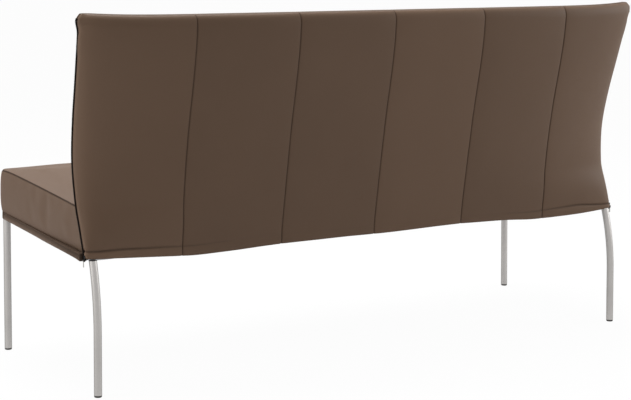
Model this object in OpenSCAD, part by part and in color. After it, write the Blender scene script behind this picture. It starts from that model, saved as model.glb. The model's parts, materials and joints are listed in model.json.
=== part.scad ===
// Dining sofa: a long upholstered seat on four round steel legs, with a zipped, leather-covered back.
// The sitter faces -Y, so left is +X. The origin is on the floor under the middle of the object.

/* [Overall] */
// Height of the raised corners of the back above the floor
height = 900; // [860:1:940]
// Depth from the front face of the seat to the rearmost face of the back
depth = 650; // [620:1:690]
// Width of the seat box at its front corners
seat_w_front = 1633; // [1500:1:1760]
// Width of the seat box at the foot of the back
seat_w_rear = 1570; // [1440:1:1700]

/* [Seat] */
// Height of the underside of the seat box at its front face
seat_under = 349; // [330:1:370]
// Fall of the seat box towards the back, in degrees
seat_tilt = 4; // [2:0.5:6]
// Height of the leather base band
band_h = 24; // [22:1:30]
// Thickness of the base band outside the steel frame
band_t = 5; // [4:0.5:6]
// How far the rolled rear end of a side band stands out from the seat side
band_bead = 8; // [4:0.5:9]
// Radius of the two front corners of the seat box
corner_r = 35; // [30:1:45]
// Height of the cushion side at the front, from the band to the sewn line
cushion_h_front = 108; // [90:1:125]
// Height of the cushion side at the foot of the back
cushion_h_rear = 101; // [85:1:115]
// Rise of the cushion top above its sewn line
cushion_crown = 6.5; // [5:0.5:16]
// How far the sides of the cushion draw in between its corners
cushion_draw = 2.5; // [1:0.5:5]
// Thickness of the padded returns that close the seat sides behind the cushion
cheek_t = 16; // [12:1:20]

/* [Frame] */
// Width of the rectangular frame rails
rail_w = 30; // [25:1:40]
// Wall of the frame rails
rail_wall = 2; // [1.5:0.5:3]
// Thickness of the plates that are welded to the leg tops
plate_t = 3; // [3:0.5:5]
// Length of the cast frame corners along each rail
corner_len = 62; // [56:1:80]
// Distance of the outer cross rails from the middle of the seat
cross_x = 390; // [360:1:400]
// Width of a webbing strap
strap_w = 50; // [40:1:50]
// Thickness of the webbing
strap_t = 1.8; // [1.2:0.1:2]
// Radius of the plate screws
screw_r = 3; // [2.5:0.5:3.5]

/* [Legs] */
// Diameter of the leg tube
leg_d = 19; // [18:0.5:20]
// Wall of the leg tube
leg_wall = 1.5; // [1:0.25:2.5]
// Height of the plastic glides below the legs
glide_h = 5; // [4:0.5:8]
// Outward lean of the legs, in degrees
leg_splay = 0.4; // [0:0.1:1.5]
// Distance from the seat side to the centre of a front leg
front_leg_inset = 11.6; // [11:0.1:14]
// Distance from the front face to the centre of a front leg
front_leg_setback = 27; // [25:0.5:32]
// Distance from the seat side to the centre of a rear leg
rear_leg_inset = 13.5; // [13:0.5:18]
// Distance of the rear feet behind the foot of the back
rear_foot_out = 19; // [12:1:26]
// Height at which a rear leg starts to bend forward
bend_z = 150; // [120:1:180]
// Radius of the bend, on the centre line of the tube
bend_r = 545; // [500:1:620]

/* [Back] */
// How far the rear face moves back between its hem and its top
back_rake = 103; // [90:1:115]
// Height of the hem of the rear cover at its middle
hem_z = 314; // [310:1:317]
// Drop of the top edge between the raised corners
top_dip = 6.5; // [3:0.5:9]
// Width of one sewn panel
panel_w = 272; // [262:1:280]
// Thickness of the back at its middle
back_t = 80; // [74:1:90]
// Distance from the middle at which the rear cover starts to wrap round
wrap_x = 300; // [280:1:320]
// Thickness of the rear cover
cover_t = 4; // [3:0.25:4.5]
// Depth of the sewn lines in the rear cover
seam_cut = 1.4; // [0.8:0.1:1.8]
// Depth of the sewn lines in the front pad
channel_cut = 8; // [4:0.5:12]
// Radius of the front top edge of the back
top_r = 28; // [20:1:34]
// Thickness of the moulded back core
core_t = 12; // [9:0.5:12]
// Half length of the back core
core_x = 700; // [660:1:710]
// Distance of the outer uprights from the middle
upright_x = 440; // [420:1:450]
// Depth of the back uprights
upright_d = 15; // [12:1:16]
// Wall of the back uprights
upright_wall = 1.5; // [1:0.25:2]
// Radius of the core bolts
bolt_r = 3; // [2.5:0.5:3.5]

/* [Zips] */
// Width of the zip strip between front pad and rear cover
zip_w = 5; // [4:0.5:6]
// Thickness of the zip strip
zip_t = 4; // [3:0.5:4]
// Length of a pull tab below its pin
pull_l = 15; // [12:0.5:18]
// Width of a pull tab
pull_w = 4; // [3:0.5:5]
// How far behind the zip line a pull tab hangs
pull_back = 6; // [4.5:0.5:8]
// Radius of the pin that a pull tab hangs on
pull_pin_r = 0.7; // [0.6:0.1:0.9]

/* [Hidden] */
$fn = 48;

leather = [0.36, 0.29, 0.25];
black_steel = [0.16, 0.16, 0.17];
satin_steel = [0.72, 0.71, 0.69];

// Fixed small clearances
gap = 0.3;
weld_gap = 0.2;
thread_gap = 0.05;
pin_gap = 0.06;

// Lines of the seat box, seen from above
y_front = -depth / 2;
y_foot = depth / 2 - back_rake;
y_corner = y_front + corner_r;
x_corner = side_x(y_corner) - corner_r;

// Levels square to the tilted seat base
plate_z = 8;
rail_z = plate_z + plate_t;
rail_h = band_h - rail_z;
strap_z = band_h;
cushion_z = strap_z + strap_t + weld_gap;
base_z = seat_under + y_front * tan(seat_tilt);
frame_rear = y_foot - cover_t - 4;

// Lines of the back
top_z = height - top_dip;
back_h = top_z - hem_z - 8;
// The core leans back a little more than the rear face does
core_rake = back_rake + 11.3;
core_lean = atan(core_rake / back_h);
core_z = hem_z + 32;
core_top = top_z - 27;
core_y = y_foot - 47;
cushion_rear = core_y - 6;
pad_z = seam_z(cushion_rear) + cushion_crown * 0.75;

// Rear face at the middle: share of the height against share of the rake
rear_line = [[0, 0], [0.08, 0.05], [0.5, 0.49], [0.75, 0.81], [0.86, 0.93], [0.95, 0.99], [1, 1]];
// Zip line at the ends: share of the height against distance behind the foot line
end_line = [[0, -13], [0.147, -43], [0.234, -59.5], [0.407, -68.5], [0.58, -49], [0.753, -17], [0.926, 15], [1, 26]];

// Seam positions of the six panels and half the columns of the rear cover
seams = [-2 * panel_w, -panel_w, 0, panel_w, 2 * panel_w];
seam_half = 6;
rear_half = [
  0, seam_half, panel_w / 2, panel_w - seam_half, panel_w, panel_w + seam_half, 1.5 * panel_w,
  2 * panel_w - seam_half, 2 * panel_w, 2 * panel_w + seam_half
];
end_share = [0.35, 0.7, 0.84, 0.93, 0.98, 1];

// Heights of the rows that the core, the pad, the cover and the zips share, and those measured down from the top
hem_row = hem_z + 22;
rows_low = [hem_z + 46, hem_z + 91];
rows_high = [for (k = [0 : 6]) mix(pad_z, top_z - 70, k / 6)];
rows_top = [26, 18, 8];

function side_x(y) = (seat_w_front + (seat_w_rear - seat_w_front) * (y - y_front) / (y_foot - y_front)) / 2;
function base_at(y, z) = base_z + z / cos(seat_tilt) - y * tan(seat_tilt);
function cushion_h(y) = cushion_h_front + (cushion_h_rear - cushion_h_front) * (y - y_front) / (y_foot - y_front);
function seam_z(y) = base_at(y, band_h) + cushion_h(y);
function clamp(v, lo, hi) = min(max(v, lo), hi);
function mix(a, b, t) = a + (b - a) * t;

// Smooth curve through a few points [x, y], flat outside them
function span_of(p, x, i = 0) = (i >= len(p) - 2 || x <= p[i + 1][0]) ? i : span_of(p, x, i + 1);
function slope_at(p, i) =
  let (a = max(i - 1, 0), b = min(i + 1, len(p) - 1)) (p[b][1] - p[a][1]) / (p[b][0] - p[a][0]);
function curve(p, x) =
  let (
    i = span_of(p, x),
    h = p[i + 1][0] - p[i][0],
    u = clamp((x - p[i][0]) / h, 0, 1),
    s = 3 * u * u - 2 * u * u * u
  )
  mix(p[i][1], p[i + 1][1], s)
    + h * (slope_at(p, i) * u * (1 - u) * (1 - u) - slope_at(p, i + 1) * u * u * (1 - u));

// The back surfaces, from the height z
function share(z) = clamp((z - hem_z) / back_h, 0, 1);
function mid_y(z) = y_foot + back_rake * curve(rear_line, share(z));
function end_y(z) = y_foot + curve(end_line, share(z));
function end_x(z) = seat_w_rear / 2 + 5 + 24 * pow(share(z), 1.4);
// The plan curve is squarer near the floor: its exponent falls from 6 to 2
function plan_n(z) = 2 + 4 * pow(1 - clamp(share(z) / 0.24, 0, 1), 2);
function plan_q(x, z, inset) =
  let (n = plan_n(z), s = clamp((abs(x) - wrap_x) / (end_x(z) - inset - wrap_x), 0, 1))
  pow(1 - pow(s, n), 1 / n);
// Rear surface moved in by inset, with its end line moved by e
function rear_y(x, z, inset, e) = mix(end_y(z) + e, mid_y(z) - inset, plan_q(x, z, inset));
function core_front(z) = core_y + (z - core_z) * tan(core_lean);
function core_wrap(z) = max(0, core_front(z) - rear_y(core_x, z, cover_t, 0) + core_t + 3);
function core_face(x, z) =
  core_front(z) - core_wrap(z) * pow(max(0, (abs(x) - core_flat) / (core_x - core_flat)), 2);
function front_mid(z) = mid_y(z) - back_t;
function seam_dip(x, reach) = max([for (s = seams) max(0, 1 - abs(x - s) / reach)]);
function front_y(x, z) =
  let (
    roll = 30,
    xe = end_x(z) - roll,
    wrap = front_mid(z) - (end_y(z) - 22),
    s = clamp((abs(x) - wrap_x) / (xe - wrap_x), 0, 1),
    edge = clamp((abs(x) - xe) / roll, 0, 1)
  )
  abs(x) > xe
    ? end_y(z) - zip_w / 2 - (22 - zip_w / 2) * sqrt(1 - edge * edge)
    : front_mid(z) - wrap * pow(s, 2.3) + channel_cut * pow(seam_dip(x, 60), 2);

// Top edge with raised corners, and hem that sags at the outer seams and rises to the ends
function top_at(x) = top_z + top_dip * pow(clamp((abs(x) - 2 * panel_w) / (end_x(top_z) - 2 * panel_w - 5), 0, 1), 3);
function hem_at(x) =
  hem_z - 5 * exp(-pow((abs(x) - 1.9 * panel_w) / 75, 2)) + 8 * pow(clamp((abs(x) - 600) / 185, 0, 1), 1.5);

// Closed solid through a stack of loops with equal counts, whose caps join opposite halves
module loft(loops) {
  n = len(loops[0]);
  m = len(loops);
  half = n / 2;
  points = [for (l = loops) each l];
  walls = [
    for (j = [0 : m - 2], i = [0 : n - 1])
      let (a = j * n + i, b = j * n + (i + 1) % n, c = b + n, d = a + n)
      each [[a, c, b], [a, d, c]]
  ];
  caps = [
    for (i = [0 : half - 2])
      let (a = i, b = i + 1, c = n - 2 - i, d = n - 1 - i, t = (m - 1) * n)
      each [[a, b, c], [a, c, d], [t + a, t + c, t + b], [t + a, t + d, t + c]]
  ];
  polyhedron(points, concat(walls, caps), convexity = 8);
}

// Places its children in the frame of the tilted seat base
module tilted() {
  translate([0, 0, base_z]) rotate([-seat_tilt, 0, 0]) children();
}

// Places its children in the frame of the leaning back core: y square to it, z up along it
module leaning() {
  translate([0, core_y, core_z]) rotate([-core_lean, 0, 0]) children();
}

module left_side() {
  children();
}

module right_side() {
  mirror([1, 0, 0]) children();
}

// Plan of the seat base, moved in by inset
module seat_plan(inset, rear) {
  polygon([
    [-x_corner, y_front + inset], [x_corner, y_front + inset],
    [side_x(y_corner) - inset, y_corner], [side_x(rear) - inset, rear],
    [-side_x(rear) + inset, rear], [-side_x(y_corner) + inset, y_corner]
  ]);
  for (s = [-1, 1]) translate([s * x_corner, y_corner]) circle(corner_r - inset);
}

module area(x0, x1, y0, y1) {
  translate([x0, y0]) square([x1 - x0, y1 - y0]);
}

corner_in = side_x(y_corner) - band_t - corner_len;
rear_corner_in = side_x(frame_rear) - band_t - corner_len;
front_in = y_front + band_t + corner_len;
rear_in = frame_rear - corner_len;
x_out = seat_w_front / 2 + 20;

// A rectangular tube along X
module tube_x(x0, x1, y0) {
  difference() {
    translate([x0, y0, rail_z]) cube([x1 - x0, rail_w, rail_h]);
    translate([x0 - 1, y0 + rail_wall, rail_z + rail_wall])
      cube([x1 - x0 + 2, rail_w - 2 * rail_wall, rail_h - 2 * rail_wall]);
  }
}

// A rectangular tube along Y
module tube_y(x, y0, y1) {
  difference() {
    translate([x - rail_w / 2, y0, rail_z]) cube([rail_w, y1 - y0, rail_h]);
    translate([x - rail_w / 2 + rail_wall, y0 - 1, rail_z + rail_wall])
      cube([rail_w - 2 * rail_wall, y1 - y0 + 2, rail_h - 2 * rail_wall]);
  }
}

module front_rail() {
  color(black_steel) tilted() tube_x(-corner_in, corner_in, y_front + band_t);
}

module rear_rail() {
  color(black_steel) tilted() tube_x(-rear_corner_in, rear_corner_in, frame_rear - rail_w);
}

// The side rails follow the seat sides, which close in towards the back
module side_rail() {
  color(black_steel) tilted() difference() {
    translate([0, 0, rail_z]) linear_extrude(rail_h) side_strip(band_t, band_t + rail_w, front_in, rear_in);
    translate([0, 0, rail_z + rail_wall]) linear_extrude(rail_h - 2 * rail_wall)
      side_strip(band_t + rail_wall, band_t + rail_w - rail_wall, front_in - 1, rear_in + 1);
  }
}

module side_strip(in0, in1, y0, y1) {
  polygon([
    [side_x(y0) - in0, y0], [side_x(y1) - in0, y1], [side_x(y1) - in1, y1], [side_x(y0) - in1, y0]
  ]);
}

module left_rail() {
  left_side() side_rail();
}

module right_rail() {
  right_side() side_rail();
}

module cross_rail(x) {
  color(black_steel) tilted() tube_y(x, y_front + band_t + rail_w, frame_rear - rail_w);
}

module cross_rail_left() {
  cross_rail(cross_x);
}

module cross_rail_middle() {
  cross_rail(0);
}

module cross_rail_right() {
  cross_rail(-cross_x);
}

module front_corner_plan() {
  intersection() {
    seat_plan(band_t, frame_rear);
    area(corner_in, x_out, y_front - 1, front_in);
  }
}

// The outer rear corner is cut off inside the curve of the rear cover
module rear_corner_plan() {
  x = side_x(frame_rear) - band_t;
  difference() {
    intersection() {
      seat_plan(band_t, frame_rear);
      area(rear_corner_in, x_out, rear_in, frame_rear);
    }
    polygon([[x - 16, frame_rear + 1], [x + 1, frame_rear - 8], [x + 1, frame_rear + 1]]);
  }
}

// Three screws hold each leg plate to its corner, clear of the leg
front_screws = [
  [corner_in + 14, front_in - 14], [corner_in + 14, front_in - 46], [corner_in + 46, front_in - 14]
];
rear_screws = [
  [rear_corner_in + 14, rear_in + 14], [rear_corner_in + 14, rear_in + 46], [rear_corner_in + 46, rear_in + 14]
];

module screw_holes(spots, r, z0, z1) {
  for (p = spots) translate([p[0], p[1], z0]) cylinder(r = r, h = z1 - z0);
}

module front_corner() {
  color("silver") tilted() difference() {
    translate([0, 0, rail_z]) linear_extrude(rail_h) front_corner_plan();
    screw_holes(front_screws, screw_r + thread_gap, rail_z - 1, rail_z + 11);
  }
}

module rear_corner() {
  color("silver") tilted() difference() {
    translate([0, 0, rail_z]) linear_extrude(rail_h) rear_corner_plan();
    screw_holes(rear_screws, screw_r + thread_gap, rail_z - 1, rail_z + 11);
  }
}

module front_left_corner() {
  left_side() front_corner();
}

module front_right_corner() {
  right_side() front_corner();
}

module rear_left_corner() {
  left_side() rear_corner();
}

module rear_right_corner() {
  right_side() rear_corner();
}

module front_plate() {
  color(satin_steel) tilted() difference() {
    translate([0, 0, plate_z]) linear_extrude(plate_t) front_corner_plan();
    screw_holes(front_screws, screw_r + gap, plate_z - 1, plate_z + plate_t + 1);
  }
}

module rear_plate() {
  color(satin_steel) tilted() difference() {
    translate([0, 0, plate_z]) linear_extrude(plate_t) rear_corner_plan();
    screw_holes(rear_screws, screw_r + gap, plate_z - 1, plate_z + plate_t + 1);
  }
}

module front_left_plate() {
  left_side() front_plate();
}

module front_right_plate() {
  right_side() front_plate();
}

module rear_left_plate() {
  left_side() rear_plate();
}

module rear_right_plate() {
  right_side() rear_plate();
}

module plate_screws() {
  color("silver") tilted() for (s = [0, 1], p = concat(front_screws, rear_screws)) mirror([s, 0, 0])
    translate([p[0], p[1], 0]) {
      translate([0, 0, plate_z - 3]) cylinder(r = screw_r * 1.9, h = 3);
      translate([0, 0, plate_z - 1]) cylinder(r = screw_r, h = plate_t + 10);
    }
}

// Legs
leg_r = leg_d / 2;
front_leg_y = y_front + front_leg_setback;
front_leg_x = side_x(front_leg_y) - front_leg_inset;
rear_foot_y = y_foot + rear_foot_out;
rear_leg_x = side_x(y_foot) - rear_leg_inset;

// Everything above the underside of the leg plates, up to a line in the seat's depth
module above_plates(rear) {
  tilted() translate([-x_out, y_front - 50, plate_z]) cube([2 * x_out, rear - y_front + 50, 200]);
}

// Legs and glides lean out a little towards the floor
module splayed(x) {
  translate([x, 0, seat_under]) rotate([0, -leg_splay, 0]) translate([-x, 0, -seat_under]) children();
}

module leg_ring() {
  difference() {
    circle(leg_r);
    circle(leg_r - leg_wall);
  }
}

module front_leg() {
  color(satin_steel) difference() {
    splayed(front_leg_x) translate([front_leg_x, front_leg_y, glide_h]) linear_extrude(seat_under) leg_ring();
    above_plates(y_foot);
  }
}

// The rear half of the tube laps the edge of its plate and ends under the hem
module rear_leg() {
  bend = asin((seat_under - bend_z) / bend_r);
  color(satin_steel) difference() {
    splayed(rear_leg_x) union() {
      translate([rear_leg_x, rear_foot_y, glide_h]) linear_extrude(bend_z - glide_h) leg_ring();
      translate([rear_leg_x, rear_foot_y - bend_r, bend_z]) rotate([90, 0, 90])
        rotate_extrude(angle = bend) translate([bend_r, 0]) leg_ring();
    }
    above_plates(frame_rear + weld_gap);
    translate([-x_out, y_front, hem_at(rear_leg_x - leg_r) - 0.5]) cube([2 * x_out, depth, 200]);
  }
}

module front_left_leg() {
  left_side() front_leg();
}

module front_right_leg() {
  right_side() front_leg();
}

module rear_left_leg() {
  left_side() rear_leg();
}

module rear_right_leg() {
  right_side() rear_leg();
}

// Glide with a flat foot, a rounded shoulder and a plug in the tube
module glide(x, y) {
  plug_r = leg_r - leg_wall - thread_gap;
  color([0.2, 0.19, 0.18]) difference() {
    splayed(x) translate([x, y, 0]) rotate_extrude()
      polygon([
        [0, -1], [leg_r - 1.8, -1], [leg_r - 1.8, 0], [leg_r - 0.8, 0.5], [leg_r - 0.2, 2], [leg_r - 0.2, glide_h],
        [plug_r, glide_h], [plug_r, glide_h + 14], [plug_r - 1.5, glide_h + 16], [0, glide_h + 16]
      ]);
    translate([x - 20, y - 20, -20]) cube([60, 40, 20]);
  }
}

module front_left_glide() {
  left_side() glide(front_leg_x, front_leg_y);
}

module front_right_glide() {
  right_side() glide(front_leg_x, front_leg_y);
}

module rear_left_glide() {
  left_side() glide(rear_leg_x, rear_foot_y);
}

module rear_right_glide() {
  right_side() glide(rear_leg_x, rear_foot_y);
}

// The band is notched round the front legs, which stop at the plates
module front_band() {
  color(leather) tilted() difference() {
    linear_extrude(band_h) intersection() {
      difference() {
        seat_plan(0, frame_rear);
        seat_plan(band_t, frame_rear);
      }
      area(-x_out, x_out, y_front - 1, y_corner);
    }
    for (s = [-1, 1]) translate([s * front_leg_x, front_leg_y / cos(seat_tilt), -1]) cylinder(r = leg_r + 1, h = plate_z + 1 + gap);
  }
}

band_end = frame_rear - 24;

module side_band() {
  end_r = (band_t + band_bead) / 2;
  color(leather) tilted() linear_extrude(band_h) {
    polygon([
      [side_x(y_corner), y_corner], [side_x(band_end) + band_bead, band_end],
      [side_x(band_end) - band_t, band_end], [side_x(y_corner) - band_t, y_corner]
    ]);
    translate([side_x(band_end) - band_t + end_r, band_end]) circle(end_r);
  }
}

module left_band() {
  left_side() side_band();
}

module right_band() {
  right_side() side_band();
}

// Cloth under the rails, cut out round the leg plates
module dust_cover() {
  lap = 3;
  cloth = 1;
  color([0.12, 0.12, 0.12]) tilted() translate([0, 0, rail_z - cloth]) linear_extrude(cloth) polygon([
    [-corner_in + lap, y_front + band_t + lap], [corner_in - lap, y_front + band_t + lap],
    [corner_in - lap, front_in + lap], [side_x(front_in) - band_t - lap, front_in + lap],
    [side_x(rear_in) - band_t - lap, rear_in - lap], [rear_corner_in - lap, rear_in - lap],
    [rear_corner_in - lap, frame_rear - lap], [-rear_corner_in + lap, frame_rear - lap],
    [-rear_corner_in + lap, rear_in - lap], [-side_x(rear_in) + band_t + lap, rear_in - lap],
    [-side_x(front_in) + band_t + lap, front_in + lap], [-corner_in + lap, front_in + lap]
  ]);
}

// Straps from the front rail to the rear rail, clear of the uprights
strap_pitch = (seat_w_rear / 2 - 5) / 6;
strap_places = [0.5, 1.5, 2.5, 4, 5];

module seat_webbing() {
  color([0.25, 0.24, 0.22]) tilted()
    for (s = [-1, 1], k = strap_places)
      translate([s * k * strap_pitch - strap_w / 2, y_front + band_t + 3, strap_z])
        cube([strap_w, frame_rear - y_front - band_t - 8, strap_t]);
}

// One loop of the cushion: the sides draw in between the corners, and the rear ends give way to the zips
side_steps = [0.12, 0.28, 0.44, 0.6, 0.76, 0.9];
function cushion_half(z, out) =
  let (
    xe = core_x + 3,
    y_end = min(cushion_rear, end_y(z) - zip_w / 2 - 1),
    front = [
      for (i = [0 : 5])
        let (x = x_corner * i / 6) [x, y_front + cushion_draw * (1 - pow(i / 6, 2)) - out + cushion_draw]
    ],
    arc = [
      for (a = [0, 22.5, 45, 67.5, 90])
        let (r = corner_r + out - cushion_draw) [x_corner + r * sin(a), y_corner - r * cos(a)]
    ],
    side = [
      for (k = side_steps)
        let (y = mix(y_corner, y_end, k))
        [side_x(y) - cushion_draw * (1 + sin(180 * k)) + out, y]
    ]
  )
  concat(front, arc, side, [
    [side_x(y_end) - cushion_draw + out, y_end], [xe, y_end], [core_x, cushion_rear],
    [core_x * 0.75, cushion_rear], [core_x * 0.5, cushion_rear], [core_x * 0.25, cushion_rear], [0, cushion_rear]
  ]);
function cushion_loop(z, out) =
  let (h = cushion_half(z, out), n = len(h))
  concat(h, [for (i = [n - 2 : -1 : 1]) [-h[i][0], h[i][1]]]);
// Crown rings: inset from the sewn line, and share of the crown reached there
crown_rings = [[10, 0.45], [28, 0.75], [70, 0.93], [140, 1], [215, 1]];

module seat_cushion() {
  mid_y = (y_front + cushion_rear) / 2;
  half_d = (cushion_rear - y_front) / 2;
  half_w = seat_w_front / 2;
  // Share of the side height, and bulge there
  rings = [[0, 0.5], [0.25, 1.8], [0.6, 2.5], [0.88, 1.8], [1, 0.5]];
  sides = [
    for (r = rings)
      let (flat = cushion_loop(seam_z(cushion_rear) - (1 - r[0]) * cushion_h_rear, r[1]))
      [for (p = flat) [p[0], p[1], mix(base_at(p[1], cushion_z), seam_z(p[1]), r[0])]]
  ];
  edge = cushion_loop(seam_z(cushion_rear), 0.5);
  crown = [
    for (r = crown_rings)
      [
        for (p = edge)
          let (x = p[0] * (1 - r[0] / half_w), y = mid_y + (p[1] - mid_y) * (1 - r[0] / half_d))
          [x, y, seam_z(y) + cushion_crown * r[1]]
      ]
  ];
  rings_all = concat(sides, crown);
  n = len(edge);
  m = len(rings_all);
  points = concat([for (l = rings_all) each l], [
    [0, mid_y, base_at(mid_y, cushion_z)], [0, mid_y, seam_z(mid_y) + cushion_crown]
  ]);
  walls = [
    for (j = [0 : m - 2], i = [0 : n - 1])
      let (a = j * n + i, b = j * n + (i + 1) % n) each [[a, b + n, b], [a, a + n, b + n]]
  ];
  caps = [
    for (i = [0 : n - 1])
      let (k = (i + 1) % n, t = (m - 1) * n) each [[i, k, m * n], [t + i, m * n + 1, t + k]]
  ];
  color(leather) polyhedron(points, concat(walls, caps), convexity = 4);
}

// Padded return between the cushion and the zip line
module cheek() {
  x = side_x(band_end) - cheek_t;
  y0 = cushion_rear + gap;
  steps = 8;
  z_low = base_at(cushion_rear, cushion_z);
  z_high = seam_z(cushion_rear) - 20;
  rear = [
    for (i = [0 : steps])
      let (z = mix(z_low, z_high, i / steps), y = end_y(z) - zip_w / 2 - 1)
      if (y > y0 + 1) [y, max(z, base_at(y, band_h + gap))]
  ];
  color(leather) translate([x, 0, 0]) rotate([90, 0, 90]) linear_extrude(cheek_t)
    polygon(concat([[y0, rear[len(rear) - 1][1]], [y0, base_at(y0, band_h + gap)]], rear));
}

module left_cheek() {
  left_side() cheek();
}

module right_cheek() {
  right_side() cheek();
}

// Back uprights: rectangular tubes that stand on the rear rail and carry the core
upright_w = 30;
upright_top = (core_top - core_z) / cos(core_lean) - 30;
bolt_inset = 60;
bolt_z = [bolt_inset, upright_top / 2, upright_top - bolt_inset];

module upright(x) {
  color(black_steel) difference() {
    leaning() translate([x - upright_w / 2, core_t, -30]) cube([upright_w, upright_d, upright_top + 30]);
    leaning() translate([x - upright_w / 2 + upright_wall, core_t + upright_wall, -31])
      cube([upright_w - 2 * upright_wall, upright_d - 2 * upright_wall, upright_top + 32]);
    tilted() translate([x - upright_w, frame_rear - 80, -50]) cube([2 * upright_w, 100, 50 + band_h]);
    leaning() for (z = bolt_z) translate([x, core_t - 1, z]) rotate([-90, 0, 0])
      cylinder(r = bolt_r + gap, h = upright_d + 2);
  }
}

module upright_left() {
  upright(upright_x);
}

module upright_middle() {
  upright(0);
}

module upright_right() {
  upright(-upright_x);
}

// Moulded core: flat at the uprights, curved forward at its ends
core_flat = upright_x + 20;
function core_column(c) = mix(core_flat, core_x, c);

module back_core() {
  shares = [0, 0.25, 0.5, 0.75, 1];
  xs = concat([for (i = [4 : -1 : 0]) core_column(shares[i])], [for (c = shares) -core_column(c)]);
  n = len(xs);
  rows = concat([core_z, mix(core_z, pad_z, 0.5)], rows_high, [core_top]);
  depth_y = core_t / cos(core_lean);
  color([0.72, 0.6, 0.42]) difference() {
    loft([
      for (z = rows)
        concat(
          [for (i = [0 : n - 1]) [xs[i], core_face(xs[i], z) + depth_y, z]],
          [for (i = [n - 1 : -1 : 0]) [xs[i], core_face(xs[i], z), z]]
        )
    ]);
    leaning() for (x = [-upright_x, 0, upright_x], z = bolt_z) translate([x, 0, z]) rotate([-90, 0, 0]) {
      translate([0, 0, -1]) cylinder(r = bolt_r + gap, h = core_t + 2);
      translate([0, 0, -1]) cylinder(r = bolt_r * 2.4 + gap, h = 4);
    }
  }
}

nut_h = 5;

// Flat-headed bolts, let into the front of the core
module core_bolts() {
  color("silver") leaning() for (x = [-upright_x, 0, upright_x], z = bolt_z)
    translate([x, 0, z]) rotate([-90, 0, 0]) {
      translate([0, 0, 0.2]) cylinder(r = bolt_r * 2.4, h = 2.8);
      cylinder(r = bolt_r, h = core_t + upright_d + nut_h + 1);
    }
}

module core_nuts() {
  color("silver") leaning() for (x = [-upright_x, 0, upright_x], z = bolt_z)
    translate([x, core_t + upright_d, z]) rotate([-90, 0, 0]) difference() {
      cylinder(r = bolt_r * 1.9, h = nut_h, $fn = 6);
      translate([0, 0, -1]) cylinder(r = bolt_r + thread_gap, h = nut_h + 2);
    }
}

// Wedge of padding behind the cushion
module tuck_pad() {
  y0 = cushion_rear + gap;
  top = pad_foot(0) - 0.5;
  color(leather) translate([-core_x, 0, 0]) rotate([90, 0, 90]) linear_extrude(2 * core_x)
    polygon([
      [y0, core_z], [core_front(core_z) - gap, core_z],
      [core_front(top) - core_wrap(top) - 1, top], [y0, top]
    ]);
}

// Front pad: six channels in front, core and cover behind
channel_half = 14;
channel_rise = 66;
pad_steps = [
  0, channel_half, panel_w / 2 - channel_rise, panel_w / 2, panel_w / 2 + channel_rise, panel_w - channel_half
];
pad_half = concat(
  pad_steps,
  [for (d = pad_steps) panel_w + d],
  [2 * panel_w, 2 * panel_w + channel_half],
  [for (c = [0.5, 0.75, 1]) core_column(c)]
);
function pad_columns(z) =
  let (half = concat(pad_half, [for (f = [0.7, 0.84, 0.93, 0.98, 1]) mix(2 * panel_w + seam_half, end_x(z), f)]))
  concat([for (i = [len(half) - 1 : -1 : 1]) -half[i]], half);
function pad_back(x, z, inset) =
  (abs(x) <= core_x && inset == 0) ? core_face(x, z) - 2.2 : rear_y(x, z, cover_t + 2 + inset, -zip_w / 2);
function pad_loop(z, zs, inset, k) =
  let (xs = pad_columns(z), n = len(xs), end = end_x(z), inner = (end - cover_t - 0.8) / end)
  concat(
    [
      for (i = [n - 1 : -1 : 0])
        let (x = xs[i] * (abs(xs[i]) > core_x ? inner : 1)) [x, pad_back(x, z, inset), zs(xs[i])]
    ],
    [
      for (i = [0 : n - 1])
        let (x = xs[i], b = pad_back(x * (abs(x) > core_x ? inner : 1), z, inset))
        [x, mix(front_y(x, z), b, k), zs(x)]
    ]
  );
// Height of the cushion top at a point of its rear or side border, and the foot of the pad above it
function crown_at(x, y) =
  cushion_crown * lookup(min(side_x(y) - abs(x), cushion_rear - y), concat([[0, 0]], crown_rings));
function pad_foot(x) = let (y = min(front_y(x, pad_z), cushion_rear - 10)) seam_z(y) + crown_at(x, y) + 1.5;
function round_off(d) = (top_r - sqrt(max(0, top_r * top_r - pow(max(0, top_r - d), 2)))) / back_t;

module front_pad() {
  // Distance below the top, and how far the pad stays inside the cover there
  tops = [[rows_top[0], 0], [rows_top[1], 1], [rows_top[2], 1], [2.5, 5], [0, 6.5]];
  color(leather) loft(concat(
    [pad_loop(pad_z, function (x) pad_foot(x), 0, 0.18)],
    [for (i = [1 : len(rows_high) - 1]) pad_loop(rows_high[i], function (x) rows_high[i], 0, 0)],
    [for (d = tops) pad_loop(top_z - d[0], function (x) top_at(x) - d[0], d[1], round_off(d[0]))]
  ));
}

// Rear cover: a skin from the hem to the top edge, grooved along its sewn lines
function cover_columns(z) =
  let (half = concat(rear_half, [for (f = end_share) mix(2 * panel_w + seam_half, end_x(z), f)]))
  concat([for (i = [len(half) - 1 : -1 : 1]) -half[i]], half);
function cover_loop(z, zs, lift, edge) =
  let (xs = cover_columns(z), n = len(xs), end = end_x(z))
  concat(
    [
      for (i = [n - 1 : -1 : 0])
        let (x = xs[i] * (abs(xs[i]) > 2 * panel_w + 10 ? (end - edge) / end : 1))
        [x, rear_y(x, z, lift + edge, zip_w / 2) - seam_cut * seam_dip(x, seam_half - 1), zs(xs[i])]
    ],
    [
      for (i = [0 : n - 1])
        let (x = xs[i] * (abs(xs[i]) > 2 * panel_w + 10 ? (end - cover_t) / end : 1))
        [x, rear_y(x, z, lift + cover_t, zip_w / 2), zs(xs[i]) - lift * 0.5]
    ]
  );

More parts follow.
